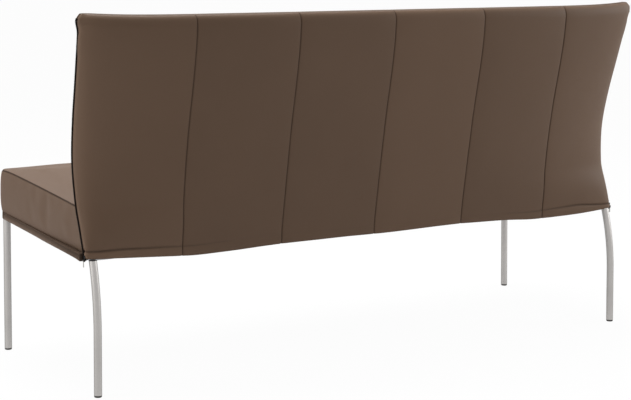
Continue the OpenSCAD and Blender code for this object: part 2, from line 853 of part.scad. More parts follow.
module rear_cover() {
  color(leather) loft(concat(
    [cover_loop(hem_z, function (x) hem_at(x), 0, 0)],
    [cover_loop(hem_row, function (x) hem_row + (hem_at(x) - hem_z) * 0.5, 0, 0.6)],
    [for (z = rows_low) cover_loop(z, function (x) z, 0, 0)],
    [for (z = rows_high) cover_loop(z, function (x) z, 0, 0)],
    [for (d = rows_top) cover_loop(top_z - d, function (x) top_at(x) - d, 0, 0)],
    [cover_loop(top_z - 2.5, function (x) top_at(x) - 2.5, 2.2, 1)],
    [cover_loop(top_z, function (x) top_at(x), 6, 2)]
  ));
}

// Tape that holds the hem to the rear rail
module hem_tape() {
  tape_t = 3;
  color([0.1, 0.1, 0.1]) tilted() translate([-rear_corner_in + 20, frame_rear, rail_z + 1])
    cube([2 * rear_corner_in - 40, tape_t, rail_h - 2]);
}

// Zip strip along the end line of the back
module zip_strip() {
  half_w = zip_w / 2 - gap;
  zs = concat([hem_z + 10, hem_row], rows_low, rows_high, [for (d = rows_top) top_z - d]);
  color([0.07, 0.06, 0.05]) loft([
    for (z = zs)
      let (x = end_x(z) - 0.5, y = end_y(z), h = z >= top_z - rows_top[0] ? z + top_dip : z)
      [[x, y + half_w, h], [x - zip_t, y + half_w, h], [x - zip_t, y - half_w, h], [x, y - half_w, h]]
  ]);
}

module left_zip() {
  left_side() zip_strip();
}

module right_zip() {
  right_side() zip_strip();
}

// Slider at the foot of the zip, with two lugs and the pin of its pull
slider_z = hem_z + 14;
pin_z = hem_z + 6;
pin_x = end_x(slider_z) + 3.4;
pin_y = end_y(slider_z) + pull_back;
lug_t = 1;
lug_gap = 0.3;

module slider() {
  x = end_x(slider_z) + gap;
  y = end_y(slider_z);
  lug_y = pull_w / 2 + lug_gap;
  color([0.5, 0.48, 0.44]) {
    translate([x, y - 3.2, pin_z + 3.5]) cube([1.2, pin_y + lug_y + lug_t - y + 3.2, 9]);
    translate([x - gap - 0.4, y - 1.8, pin_z + 5]) cube([0.5 + gap, 3.6, 6]);
    for (s = [0, 1]) translate([x, pin_y + (s == 0 ? lug_y : -lug_y - lug_t), pin_z - 1.5])
      cube([pin_x + 1 - x, lug_t, 6]);
    translate([pin_x, pin_y + lug_y + lug_t, pin_z]) rotate([90, 0, 0])
      cylinder(r = pull_pin_r, h = 2 * (lug_y + lug_t));
  }
}

module left_slider() {
  left_side() slider();
}

module right_slider() {
  right_side() slider();
}

// Pull tab: an eye on the pin and a blade that narrows and ends round
module pull() {
  eye_r = pull_pin_r + 0.75;
  blade_t = 1.1;
  color([0.5, 0.48, 0.44]) translate([pin_x, pin_y, pin_z]) difference() {
    union() {
      translate([0, pull_w / 2, 0]) rotate([90, 0, 0]) cylinder(r = eye_r, h = pull_w);
      translate([-blade_t / 2, 0, 0]) rotate([90, 0, 90]) linear_extrude(blade_t) {
        polygon([
          [-pull_w / 2 + 0.4, 0], [-pull_w / 2, -pull_l + pull_w / 2],
          [pull_w / 2, -pull_l + pull_w / 2], [pull_w / 2 - 0.4, 0]
        ]);
        translate([0, -pull_l + pull_w / 2]) circle(pull_w / 2);
      }
    }
    translate([0, pull_w, 0]) rotate([90, 0, 0]) cylinder(r = pull_pin_r + pin_gap, h = 2 * pull_w);
  }
}

module left_pull() {
  left_side() pull();
}

module right_pull() {
  right_side() pull();
}

front_rail();
rear_rail();
left_rail();
right_rail();
cross_rail_left();
cross_rail_middle();
cross_rail_right();
front_left_corner();
front_right_corner();
rear_left_corner();
rear_right_corner();
front_left_plate();
front_right_plate();
rear_left_plate();
rear_right_plate();
plate_screws();
front_left_leg();
front_right_leg();
rear_left_leg();
rear_right_leg();
front_left_glide();
front_right_glide();
rear_left_glide();
rear_right_glide();
front_band();
left_band();
right_band();
dust_cover();
seat_webbing();
seat_cushion();
left_cheek();
right_cheek();
upright_left();
upright_middle();
upright_right();
back_core();
core_bolts();
core_nuts();
tuck_pad();
front_pad();
rear_cover();
hem_tape();
left_zip();
right_zip();
left_slider();
right_slider();
left_pull();
right_pull();
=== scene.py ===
# Dining sofa seen from behind: leather seat and flared back on round steel legs.
# Sizes are in millimetres until a mesh is made. The sitter faces -Y and left is +X.
import bmesh
import bpy
import json
import math
import numpy as np
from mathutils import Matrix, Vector
from mathutils.kdtree import KDTree


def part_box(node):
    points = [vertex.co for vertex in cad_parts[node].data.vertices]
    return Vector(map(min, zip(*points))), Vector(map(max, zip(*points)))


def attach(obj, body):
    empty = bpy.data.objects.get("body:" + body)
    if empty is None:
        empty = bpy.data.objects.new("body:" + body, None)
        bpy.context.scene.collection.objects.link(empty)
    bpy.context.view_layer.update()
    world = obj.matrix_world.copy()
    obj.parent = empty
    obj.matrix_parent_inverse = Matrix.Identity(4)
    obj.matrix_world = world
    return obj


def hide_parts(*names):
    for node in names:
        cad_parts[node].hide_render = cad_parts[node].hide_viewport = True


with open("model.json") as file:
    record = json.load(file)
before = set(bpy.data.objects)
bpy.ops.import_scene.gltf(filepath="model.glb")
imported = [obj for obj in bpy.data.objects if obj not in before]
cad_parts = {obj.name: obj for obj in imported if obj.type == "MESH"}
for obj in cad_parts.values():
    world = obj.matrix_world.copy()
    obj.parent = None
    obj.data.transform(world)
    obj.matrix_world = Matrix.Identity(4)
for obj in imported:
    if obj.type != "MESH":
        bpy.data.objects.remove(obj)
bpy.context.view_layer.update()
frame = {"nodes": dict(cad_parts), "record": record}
print("frame loaded:", len(frame["nodes"]), "nodes")

# The sofa's sizes: most are those of the part's source, and the cushion's are a little smaller
sofa = {
    "height": 900, "depth": 650, "seatFrontWidth": 1633, "seatRearWidth": 1570,
    "seatUnder": 349, "seatTilt": 4, "cornerRadius": 35, "cornerPower": 2.7,
    "bandHeight": 24, "bandThick": 5, "bandTopFront": 18.6, "bandTopRear": 22.8,
    "cushionFront": 106, "cushionRear": 98.5, "crown": 4.5, "draw": 2.0, "cheek": 16, "seamRise": 1.6,
    "backRake": 103, "hem": 314, "topDip": 6.5, "panel": 272, "backThick": 80, "wrapFrom": 300,
    "coverThick": 4, "zipWidth": 5, "rollHigh": 26, "rollDeep": 14, "channel": 8, "topRadius": 28,
    "endOut": 5, "endFlare": 24, "endRoll": 30,
    "coreHalf": 700, "coreFlat": 460, "coreThick": 12, "coreStep": 47, "coreLift": 32,
    "railGap": 8, "cushionGap": 6, "zipTopGap": 8,
}
frontEdge = -sofa["depth"] / 2
footLine = sofa["depth"] / 2 - sofa["backRake"]
cornerLine = frontEdge + sofa["cornerRadius"]
tilt = math.radians(sofa["seatTilt"])
baseHeight = sofa["seatUnder"] + frontEdge * math.tan(tilt)
railRear = footLine - sofa["railGap"]
topEdge = sofa["height"] - sofa["topDip"]
backHeight = topEdge - sofa["hem"] - sofa["zipTopGap"]
coreFront, coreFoot = footLine - sofa["coreStep"], sofa["hem"] + sofa["coreLift"]
cushionBack = coreFront - sofa["cushionGap"]
seams = [k * sofa["panel"] for k in (-2, -1, 0, 1, 2)]

# Rear face at the middle and zip line at the ends: share of the height, then share of the rake or distance
rearLine = [(0, 0), (0.08, 0.05), (0.5, 0.49), (0.75, 0.81), (0.86, 0.93), (0.95, 0.99), (1, 1)]
zipLine = [
    (0, -13), (0.147, -43), (0.234, -59.5), (0.407, -68.5), (0.58, -49), (0.753, -17), (0.926, 15), (1, 26),
]


def smoothCurve(points, x):
    # A smooth curve through a few points
    px, py = np.array(points, float).T
    order = np.arange(len(px))
    before = np.maximum(order - 1, 0)
    after = np.minimum(order + 1, len(px) - 1)
    slope = (py[after] - py[before]) / (px[after] - px[before])
    x = np.asarray(x, float)
    i = np.clip(np.searchsorted(px, x) - 1, 0, len(px) - 2)
    h = px[i + 1] - px[i]
    u = np.clip((x - px[i]) / h, 0, 1)
    s = 3 * u * u - 2 * u ** 3
    bend = slope[i] * u * (1 - u) ** 2 - slope[i + 1] * u * u * (1 - u)
    return py[i] + (py[i + 1] - py[i]) * s + h * bend


def mix(a, b, t):
    return a + (b - a) * t


def ease(low, high, x):
    t = np.clip((np.asarray(x, float) - low) / (high - low), 0, 1)
    return t * t * (3 - 2 * t)


def sideX(y):
    t = (y - frontEdge) / (footLine - frontEdge)
    return mix(sofa["seatFrontWidth"], sofa["seatRearWidth"], t) / 2


def baseAt(y, level):
    return baseHeight + level / math.cos(tilt) - y * math.tan(tilt)


def bandTop(y):
    # The soft band is sewn lower than the full strip, and rises a little towards the zip
    return mix(sofa["bandTopFront"], sofa["bandTopRear"], ease(-20, 200, y))


def seamHeight(y):
    t = (y - frontEdge) / (footLine - frontEdge)
    fullness = sofa["seamRise"] * (1 - np.exp(-((y - frontEdge) / 60) ** 2))
    return baseAt(y, sofa["bandHeight"]) + mix(sofa["cushionFront"], sofa["cushionRear"], t) + fullness


def share(z):
    return np.clip((z - sofa["hem"]) / backHeight, 0, 1)


def midY(z):
    return footLine + sofa["backRake"] * smoothCurve(rearLine, share(z))


def endY(z):
    return footLine + smoothCurve(zipLine, share(z))


def endX(z):
    return sofa["seatRearWidth"] / 2 + sofa["endOut"] + sofa["endFlare"] * share(z) ** 1.4


def planPull(x, z, inset=0):
    n = 2 + 4 * (1 - np.clip(share(z) / 0.24, 0, 1)) ** 2
    s = np.clip((abs(x) - sofa["wrapFrom"]) / (endX(z) - inset - sofa["wrapFrom"]), 0, 1)
    return (1 - s ** n) ** (1 / n)


def rearY(x, z, inset=0, edge=0):
    return mix(endY(z) + edge, midY(z) - inset, planPull(x, z, inset))


def coreY(x, z):
    front = coreFront + (z - coreFoot) * 0.2
    wrap = np.maximum(0, front - rearY(sofa["coreHalf"], z, sofa["coverThick"]) + sofa["coreThick"] + 3)
    reach = np.maximum(0, (abs(x) - sofa["coreFlat"]) / (sofa["coreHalf"] - sofa["coreFlat"]))
    return front - wrap * np.minimum(reach, 1) ** 2


def seamNear(x, reach):
    return np.max([np.maximum(0, 1 - abs(x - s) / reach) for s in seams], axis=0)


def seamGapAt(x):
    # Distance from the nearest sewn line of the back
    return np.min([abs(x - s) for s in seams], axis=0)


def frontY(x, z):
    rollX = endX(z) - sofa["endRoll"]
    wrap = midY(z) - sofa["backThick"] - (endY(z) - 22)
    s = np.clip((abs(x) - sofa["wrapFrom"]) / (rollX - sofa["wrapFrom"]), 0, 1)
    edge = np.clip((abs(x) - rollX) / sofa["endRoll"], 0, 1)
    roll = endY(z) - 2.5 - 19.5 * np.sqrt(1 - edge ** 2)
    flat = midY(z) - sofa["backThick"] - wrap * s ** 2.3 + sofa["channel"] * seamNear(x, 60) ** 2
    return np.where(abs(x) > rollX, roll, flat)


def topAt(x):
    reach = np.clip((abs(x) - 2 * sofa["panel"]) / (endX(topEdge) - 2 * sofa["panel"] - 5), 0, 1)
    return topEdge + sofa["topDip"] * reach ** 3


def hemAt(x):
    sag = 5 * np.exp(-((abs(x) - 1.9 * sofa["panel"]) / 75) ** 2)
    return sofa["hem"] - sag + 8 * np.clip((abs(x) - 600) / 185, 0, 1) ** 1.5


def earPush(z):
    # The corner of the back sticks out a little below the top edge and is cut off at it
    below = topEdge + sofa["topDip"] - np.asarray(z, float)
    out = mix(-6.0, 5.0, np.sin(np.clip(below / 16, 0, 1) * math.pi / 2))
    return np.where(below < 16, out, 5.0 * (1 - ease(16, 44, below)))


def earShift(x, z):
    return np.sign(x) * earPush(z) * ease(endX(z) - 18, endX(z) - 1, abs(x))


def topInset(below, thick):
    # How far the rear face has rolled forward at a distance below the top edge
    u = np.clip(1 - below / sofa["rollHigh"], 0, 1)
    return rollDeep(thick) * (1 - np.sqrt(1 - u * u))


def rollDeep(thick):
    return np.minimum(sofa["rollDeep"], 0.36 * thick)


def crownShare(d):
    return 1 - np.exp(-(np.maximum(d, 0) / 55) ** 0.9)


def padFoot(x, y):
    d = np.minimum(sideX(y) - abs(x), cushionBack - y)
    return seamHeight(y) + sofa["crown"] * crownShare(d) + 1.5


# Materials
def newMaterial(name):
    material = bpy.data.materials.new(name)
    material.use_nodes = True
    material.node_tree.nodes.clear()
    return material, material.node_tree


def node(tree, kind, inputs=None, **settings):
    made = tree.nodes.new(kind)
    for key, value in settings.items():
        setattr(made, key, value)
    for key, value in (inputs or {}).items():
        made.inputs[key].default_value = value
    return made


def stretched(tree, scale, turn=(0, 0, 0)):
    place = node(tree, "ShaderNodeTexCoord")
    mapping = node(tree, "ShaderNodeMapping", {"Scale": scale, "Rotation": turn})
    tree.links.new(place.outputs["Object"], mapping.inputs["Vector"])
    return mapping.outputs["Vector"]


def noise(tree, vector, scale, detail=3, rough=0.5):
    made = node(tree, "ShaderNodeTexNoise", {"Scale": scale, "Detail": detail, "Roughness": rough})
    tree.links.new(vector, made.inputs["Vector"])
    return made.outputs["Fac"]


def spread(tree, value, low, high, fromLow=0.3, fromHigh=0.7):
    limits = {"From Min": fromLow, "From Max": fromHigh, "To Min": low, "To Max": high}
    made = node(tree, "ShaderNodeMapRange", limits)
    tree.links.new(value, made.inputs["Value"])
    return made.outputs["Result"]


def blendColours(tree, amount, first, second):
    made = node(tree, "ShaderNodeMix", data_type="RGBA")
    for socket, colour in ((made.inputs[6], first), (made.inputs[7], second)):
        if isinstance(colour, bpy.types.NodeSocket):
            tree.links.new(colour, socket)
        else:
            socket.default_value = (*colour, 1)
    tree.links.new(amount, made.inputs[0])
    return made.outputs[2]


def bump(tree, height, distance, strength=1.0, under=None):
    made = node(tree, "ShaderNodeBump", {"Distance": distance, "Strength": strength})
    tree.links.new(height, made.inputs["Height"])
    if under is not None:
        tree.links.new(under, made.inputs["Normal"])
    return made.outputs["Normal"]


def shade(tree, colour, roughness, normal, fixed):
    surface = node(tree, "ShaderNodeBsdfPrincipled", fixed)
    for key, value in (("Base Color", colour), ("Roughness", roughness), ("Normal", normal)):
        if isinstance(value, bpy.types.NodeSocket):
            tree.links.new(value, surface.inputs[key])
        elif value is not None:
            surface.inputs[key].default_value = value if key == "Roughness" else (*value, 1)
    out = node(tree, "ShaderNodeOutputMaterial")
    tree.links.new(surface.outputs["BSDF"], out.inputs["Surface"])


def tint(colour, factor):
    return tuple(min(1, c * factor) for c in colour)


# The seam colour is that of dark sewn lines and of painted shade in seams, creases and tucks
leatherLook = {
    "colour": (0.118, 0.073, 0.047), "seamAndShadeColour": (0.058, 0.035, 0.024),
    "grainScale": 620, "poreScale": 1500, "creaseScale": 14, "crease": 0.12, "mottle": 0.035,
    "roughness": (0.53, 0.59), "gloss": 0.16, "seamDull": 0.45,
}


def leather(name, colour=None, look=leatherLook):
    material, tree = newMaterial(name)
    base = colour or look["colour"]
    vector = stretched(tree, (1, 1, 1))
    cloud = noise(tree, vector, 5, 4)
    darker, lighter = tint(base, 1 - look["mottle"]), tint(base, 1 + look["mottle"])
    mottled = blendColours(tree, spread(tree, cloud, 0, 1), darker, lighter)
    speck = spread(tree, noise(tree, vector, 260, 2), 0, 0.3)
    toned = blendColours(tree, speck, mottled, tint(base, 0.92))
    # Painted light: a share set on the mesh lightens the colour towards a paler tone
    litShare = node(tree, "ShaderNodeAttribute", attribute_name="wear", attribute_type="GEOMETRY")
    litTone = blendColours(tree, litShare.outputs["Fac"], toned, tint(base, 1.28))
    # Dark sewn lines and painted shade: a share set on the mesh darkens the colour towards the seam colour
    seamAndShade = node(tree, "ShaderNodeAttribute", attribute_name="seamDepth", attribute_type="GEOMETRY")
    colourOut = blendColours(tree, seamAndShade.outputs["Fac"], litTone, look["seamAndShadeColour"])
    cells = {"Scale": look["grainScale"], "Randomness": 0.9}
    grain = node(tree, "ShaderNodeTexVoronoi", cells, feature="DISTANCE_TO_EDGE")
    tree.links.new(vector, grain.inputs["Vector"])
    grainHeight = spread(tree, grain.outputs["Distance"], 0, 1, 0.0, 0.22)
    creases = bump(tree, noise(tree, vector, look["creaseScale"], 3, 0.5), 0.0009, look["crease"])
    pebbled = bump(tree, grainHeight, 0.00012, 0.6, creases)
    pores = bump(tree, noise(tree, vector, look["poreScale"], 2), 0.00005, 0.5, pebbled)
    # The leather is fully dull down in its seams
    dulled = node(tree, "ShaderNodeMath", {1: look["seamDull"]}, operation="MULTIPLY_ADD", use_clamp=True)
    rough = spread(tree, noise(tree, vector, 40, 3), *look["roughness"])
    tree.links.new(seamAndShade.outputs["Fac"], dulled.inputs[0])
    tree.links.new(rough, dulled.inputs[2])
    shade(tree, colourOut, dulled.outputs[0], pores, {"Specular IOR Level": look["gloss"]})
    return material


steelLook = {
    "colour": (0.455, 0.438, 0.424), "roughness": (0.43, 0.53), "streaks": (900, 900, 26),
    "edge": (0.10, 0.10, 0.10),
}


def satinSteel(name, look=steelLook):
    material, tree = newMaterial(name)
    streaks = noise(tree, stretched(tree, look["streaks"]), 1, 4, 0.65)
    cloud = noise(tree, stretched(tree, (1, 1, 1)), 14, 3)
    darker, lighter = tint(look["colour"], 0.95), tint(look["colour"], 1.04)
    colour = blendColours(tree, spread(tree, cloud, 0, 1), darker, lighter)
    normal = bump(tree, streaks, 0.00003, 0.5)
    # Painted shade: the steel's reflection is tinted dark at grazing angles, so that the legs' rims look
    # darker
    edge = (*look.get("edge", (1, 1, 1)), 1)
    rough = spread(tree, streaks, *look["roughness"])
    shade(tree, colour, rough, normal, {"Metallic": 1.0, "Specular Tint": edge})
    return material


def paint(name, colour, roughness, fleck=90, height=0.00006, metallic=0.0, gloss=0.5):
    material, tree = newMaterial(name)
    vector = stretched(tree, (1, 1, 1))
    cloud = spread(tree, noise(tree, vector, 12, 3), 0, 1)
    tone = blendColours(tree, cloud, tint(colour, 0.88), tint(colour, 1.12))
    rough = spread(tree, noise(tree, vector, fleck, 3), roughness * 0.85, roughness * 1.15)
    peel = bump(tree, noise(tree, vector, fleck * 10, 2), height, 0.5)
    shade(tree, tone, rough, peel, {"Metallic": metallic, "Specular IOR Level": gloss})
    return material


def weave(name, colour, pitch, across="xy", sheen=0.2, gloss=0.5):
    material, tree = newMaterial(name)
    turn = {"xy": (0, 0, 0), "xz": (math.pi / 2, 0, 0)}[across]
    vector = stretched(tree, (1000 / pitch,) * 3, turn)
    strands = []
    ripple = {"Scale": 0.5, "Distortion": 0.6, "Detail": 1.0}
    for direction in ("X", "Y"):
        wave = node(tree, "ShaderNodeTexWave", ripple, wave_type="BANDS", bands_direction=direction)
        tree.links.new(vector, wave.inputs["Vector"])
        strands.append(wave.outputs["Fac"])
    crossed = node(tree, "ShaderNodeMath", operation="MAXIMUM")
    tree.links.new(strands[0], crossed.inputs[0])
    tree.links.new(strands[1], crossed.inputs[1])
    tone = blendColours(tree, crossed.outputs[0], tint(colour, 0.6), tint(colour, 1.2))
    thread = bump(tree, crossed.outputs[0], 0.0002, 0.7)
    shade(tree, tone, 0.85, thread, {"Sheen Weight": sheen, "Specular IOR Level": gloss})
    return material


def woodGrain(name, colour):
    material, tree = newMaterial(name)
    rings = node(tree, "ShaderNodeTexWave", {"Scale": 6, "Distortion": 5, "Detail": 3}, bands_direction="Z")
    tree.links.new(stretched(tree, (0.6, 12, 12)), rings.inputs["Vector"])
    tone = blendColours(tree, rings.outputs["Fac"], tint(colour, 0.78), tint(colour, 1.1))
    shade(tree, tone, 0.55, bump(tree, rings.outputs["Fac"], 0.0001, 0.4), {})
    return material


coverLeather = leather("coverLeather")
# The seat's sewn line and creases get a darker painted shade
seatLook = leatherLook | {
    "crease": 0.05, "mottle": 0.025, "roughness": (0.55, 0.58), "seamAndShadeColour": (0.030, 0.018, 0.012),
}
seatLeather = leather("seatLeather", None, seatLook)
# The band's painted shade under the cushion uses a darker shade colour
bandShadeLook = leatherLook | {"seamAndShadeColour": (0.030, 0.019, 0.013)}
bandLeather = leather("bandLeather", tint(leatherLook["colour"], 0.9), bandShadeLook)
threadFinish = paint("threadFinish", (0.045, 0.031, 0.023), 0.8, 400)
zipTape = weave("zipTape", (0.008, 0.005, 0.004), 0.8, "xz", 0.0, 0.1)
zipPlastic = paint("zipPlastic", (0.006, 0.004, 0.003), 0.7, gloss=0.1)
pullLook = {"colour": (0.40, 0.385, 0.36), "roughness": (0.25, 0.40), "streaks": (500, 500, 500)}
zipMetal = satinSteel("zipMetal", pullLook)
sliderMetal = paint("sliderMetal", (0.022, 0.020, 0.019), 0.35, 300, 0.00004, 1.0)
legSteel = satinSteel("legSteel")
# The zinc is given a darkened colour, painted shade, so that the plates under the hem don't show bright
zincLook = {"colour": (0.32, 0.32, 0.325), "roughness": (0.25, 0.42), "streaks": (160, 160, 160)}
screwSteel = satinSteel("screwSteel", zincLook)
# Painted shade: the corners are given a dark colour, so that they don't show bright under the hem, where
# they sit in shade
castMetal = paint("castMetal", (0.030, 0.028, 0.027), 0.65, 260, 0.0002, 0.0, 0.2)
blackPaint = paint("blackPaint", (0.020, 0.020, 0.022), 0.42)
glidePlastic = paint("glidePlastic", (0.045, 0.040, 0.037), 0.5)
dustCloth = weave("dustCloth", (0.022, 0.022, 0.023), 1.2, "xy", 0.0, 0.12)
strapWeave = weave("strapWeave", (0.10, 0.093, 0.080), 2.0)
coreWood = woodGrain("coreWood", (0.50, 0.34, 0.19))

finishes = {
    "leg_steel": legSteel, "glide": glidePlastic, "frame_steel": blackPaint, "cast_corner": castMetal,
    "zinc_steel": screwSteel, "webbing": strapWeave, "black_cloth": dustCloth, "plywood": coreWood,
    "zip_metal": zipMetal, "zip_tape": zipTape, "leather": seatLeather, "band_leather": bandLeather,
    "padding": dustCloth,
}
for part in frame["record"]["subparts"]:
    solid = frame["nodes"][part["node"]]
    solid.data.materials.clear()
    solid.data.materials.append(finishes[part["material_slot"]])
for name in ("left_slider", "right_slider"):
    frame["nodes"][name].data.materials[0] = sliderMetal
print("materials made")


# Helpers for meshes
def makePiece(name, points, faces, material):
    mesh = bpy.data.meshes.new(name)
    mesh.from_pydata((np.asarray(points, float).reshape(-1, 3) * 0.001).tolist(), [], faces)
    mesh.polygons.foreach_set("use_smooth", np.ones(len(mesh.polygons), bool))
    mesh.materials.append(material)
    piece = bpy.data.objects.new(name, mesh)
    bpy.context.scene.collection.objects.link(piece)
    return piece


def gridFaces(rows, columns, start=0, wrap=False, flip=False):
    j, i = np.meshgrid(np.arange(rows - 1), np.arange(columns if wrap else columns - 1), indexing="ij")
    k = (i + 1) % columns
    low, high = j * columns, (j + 1) * columns
    quads = np.stack([low + i, low + k, high + k, high + i], -1).reshape(-1, 4) + start
    return (quads[:, ::-1] if flip else quads).tolist()


def tubeFaces(rows, columns):
    # The wall of a closed tube and a cap at each end
    firstCap = list(range(columns))[::-1]
    lastCap = [(rows - 1) * columns + i for i in range(columns)]
    return gridFaces(rows, columns, wrap=True) + [firstCap, lastCap]


def mergeDoubles(piece, distance=0.000001):
    work = bmesh.new()
    work.from_mesh(piece.data)
    bmesh.ops.remove_doubles(work, verts=work.verts, dist=distance)
    bmesh.ops.dissolve_degenerate(work, edges=work.edges, dist=distance)
    bmesh.ops.recalc_face_normals(work, faces=work.faces)
    work.to_mesh(piece.data)
    work.free()
    piece.data.polygons.foreach_set("use_smooth", np.ones(len(piece.data.polygons), bool))


def getPoints(piece):
    flat = np.zeros(len(piece.data.vertices) * 3)
    piece.data.vertices.foreach_get("co", flat)
    return flat.reshape(-1, 3)


def setPoints(piece, points):
    piece.data.vertices.foreach_set("co", np.asarray(points, float).ravel())
    piece.data.update()


def setShare(piece, name, values):
    layer = piece.data.attributes.new(name, "FLOAT", "POINT")
    layer.data.foreach_set("value", np.clip(values, 0, 1).astype(np.float32))


def rearNormals(grid):
    # Normals of a sheet of the back, turned to point to the rear
    along = np.gradient(grid, axis=1)
    up = np.gradient(grid, axis=0)
    normal = np.cross(up, along)
    normal /= np.maximum(np.linalg.norm(normal, axis=2, keepdims=True), 1e-9)
    return -normal if normal[len(grid) // 2, grid.shape[1] // 2, 1] < 0 else normal


def subdivide(piece):
    finish = piece.modifiers.new("finish", "SUBSURF")
    finish.levels = finish.render_levels = 1


clothLook = {"quality": 5, "mass": 0.3, "give": 0.4}


def puff(piece, held, look):
    # Cloth pressure swells the free part of a pad, and the move of every point is capped
    before = getPoints(piece)
    group = piece.vertex_groups.new(name="held")
    for level in np.unique(np.round(held, 2)):
        if level > 0:
            group.add(np.nonzero(np.round(held, 2) == level)[0].tolist(), float(level), "REPLACE")
    cloth = piece.modifiers.new("cloth", "CLOTH")
    cloth.settings.quality = clothLook["quality"]
    cloth.settings.mass = clothLook["mass"]
    cloth.settings.tension_stiffness = look["stiffness"]
    cloth.settings.compression_stiffness = look["stiffness"] * clothLook["give"]
    cloth.settings.shear_stiffness = look["stiffness"] * clothLook["give"]
    cloth.settings.bending_stiffness = look["bending"]
    cloth.settings.shrink_min = -look["slack"]
    cloth.settings.use_pressure = True
    cloth.settings.uniform_pressure_force = look["pressure"]
    cloth.settings.vertex_group_mass = "held"
    cloth.settings.effector_weights.gravity = 0
    cloth.point_cache.frame_start, cloth.point_cache.frame_end = 1, look["frames"]
    for step in range(1, look["frames"] + 1):
        bpy.context.scene.frame_set(step)
    settled = piece.evaluated_get(bpy.context.evaluated_depsgraph_get())
    flat = np.zeros(len(settled.data.vertices) * 3)
    settled.data.vertices.foreach_get("co", flat)
    move = flat.reshape(-1, 3) - before
    piece.modifiers.remove(cloth)
    piece.vertex_groups.remove(group)
    bpy.context.scene.frame_set(1)
    size = np.linalg.norm(move, axis=1, keepdims=True)
    cap = look["cap"] * 0.001
    move *= np.where(size > 1e-9, cap * np.tanh(size / cap) / np.maximum(size, 1e-9), 0)
    setPoints(piece, before + move)
    print(piece.name, "settled, largest move", round(float(size.max()) * 1000, 1), "mm")


# Rear cover: six sewn panels from the hem to the top edge
coverLook = {
    "seamDepth": 1.7, "seamWidth": 1.5, "valley": 1.5, "valleyWidth": 13, "panelCrown": 2.0,
    "hemBand": (24.3, 22.3), "hemDrop": (4.5, 11.6), "hemDropFrom": (690, 650),
    "hemDepth": 2.6, "hemWidth": 2.9, "hemPuff": 1.5, "hemRoll": 2.5,
    "rolledEdge": 0.5, "thick": 3.2, "pucker": 0.28, "setBack": 1.7, "edge": 3.5,
    # Painted light: how much lighter each panel is lit, from the sitter's right end to the left end
    "panelLight": (0.30, 0.10, 0.40, 0.0, 0.0, 0.22),
    "hemLift": [
        (-785, -3), (-640, -3), (-500, 1.5), (-380, 3.3), (-220, 5), (-20, 1.2),
        (90, 2.5), (300, 0.3), (410, -2.6), (520, 0), (700, 3), (785, 2.5),
    ],
    "hemRows": [
        4.5, 6.5, 8.5, 10.3, 12, 13.6, 15.2, 16.8, 18.3, 19.7, 21, 22.2, 23.4, 24.8, 26.6, 29.5, 33.5, 38,
    ],
    "rowStep": 8.5, "hemAngles": (90, 65, 40, 18),
    "rollAngles": (6, 13, 20, 27, 34, 41, 48, 55, 62, 69, 76, 83, 90),
}


def coverHalfColumns():
    fine = {0.0}
    for s in (0, sofa["panel"], 2 * sofa["panel"]):
        for d in (0, 0.7, 1.4, 2.2, 3.4, 5, 8, 12, 17):
            fine.update((s + d, s - d))
    plain = [x for x in np.arange(0, 551, 8.5) if min(abs(x - abs(s)) for s in seams) > 20]
    fine.update(float(x) for x in plain)
    return sorted(x for x in fine if 0 <= x < 570)


coverHalf = coverHalfColumns()
tipSteps = 46


def setBack(z):
    # The cover's end edge stops short of the zip, except where the back narrows below its top corner
    shown = 1 - ease(795, 822, z) + ease(846, 858, z)
    return coverLook["setBack"] * shown - 0.2


def coverX(z):
    # Columns of the cover for an array of heights: fixed ones, then ones that close up towards the end
    first = coverHalf[-1]
    angle = np.arccos((first - sofa["wrapFrom"]) / (endX(z) - sofa["wrapFrom"]))
    k = 1 - np.arange(1, tipSteps + 1) / tipSteps
    reach = (endX(z) - sofa["wrapFrom"])[:, None]
    tip = sofa["wrapFrom"] + reach * np.cos(angle[:, None] * k[None, :] ** 1.35)
    half = np.hstack([np.tile(coverHalf, (len(z), 1)), tip])
    return np.hstack([-half[:, :0:-1], half])


def coverGrid():
    look = coverLook
    rollFoot = topEdge - sofa["rollHigh"]
    levels = [sofa["hem"] + v for v in [look["hemRoll"]] + look["hemRows"]]
    levels += list(np.arange(sofa["hem"] + 44, topEdge - 20, look["rowStep"]))
    levels = np.array([v for v in levels if v < rollFoot - 4] + [rollFoot])
    x = coverX(levels)
    height = np.repeat(levels[:, None], x.shape[1], 1)
    hemShare = 1 - ease(sofa["hem"] + 20, sofa["hem"] + 140, height)
    topShare = ease(topEdge - 70, topEdge - 26, height)
    hemShift = smoothCurve(look["hemLift"], x) * (1 - ease(sofa["hem"] + 2, sofa["hem"] + 18, height))
    height = height + hemShare * (hemAt(x) - sofa["hem"]) + topShare * (topAt(x) - topEdge)
    height = height + hemShift
    side = np.sign(x)
    ends = endX(height)
    inner = abs(x) <= coverHalf[-1]
    nominal = np.repeat(endX(levels)[:, None], x.shape[1], 1)
    stretch = (abs(x) - coverHalf[-1]) / (nominal - coverHalf[-1])
    x = np.where(inner, x, side * (coverHalf[-1] + stretch * (ends - coverHalf[-1])))
    y = rearY(x, height, 0, look["edge"])
    near = ease(ends - 22, ends, abs(x))
    x = x + earShift(x, height) - side * setBack(height) * near
    return np.stack([x, y, height], -1)


def wavy(x, z, seed):
    # Smooth small waves, the same on every run
    rng = np.random.default_rng(seed)
    total = np.zeros_like(x)
    for _ in range(7):
        kx, kz, phase = rng.uniform(-1, 1) / 90, rng.uniform(-1, 1) / 120, rng.uniform(0, 6.28)
        total += np.sin(6.283 * (kx * x + kz * z) + phase)
    return total / 7


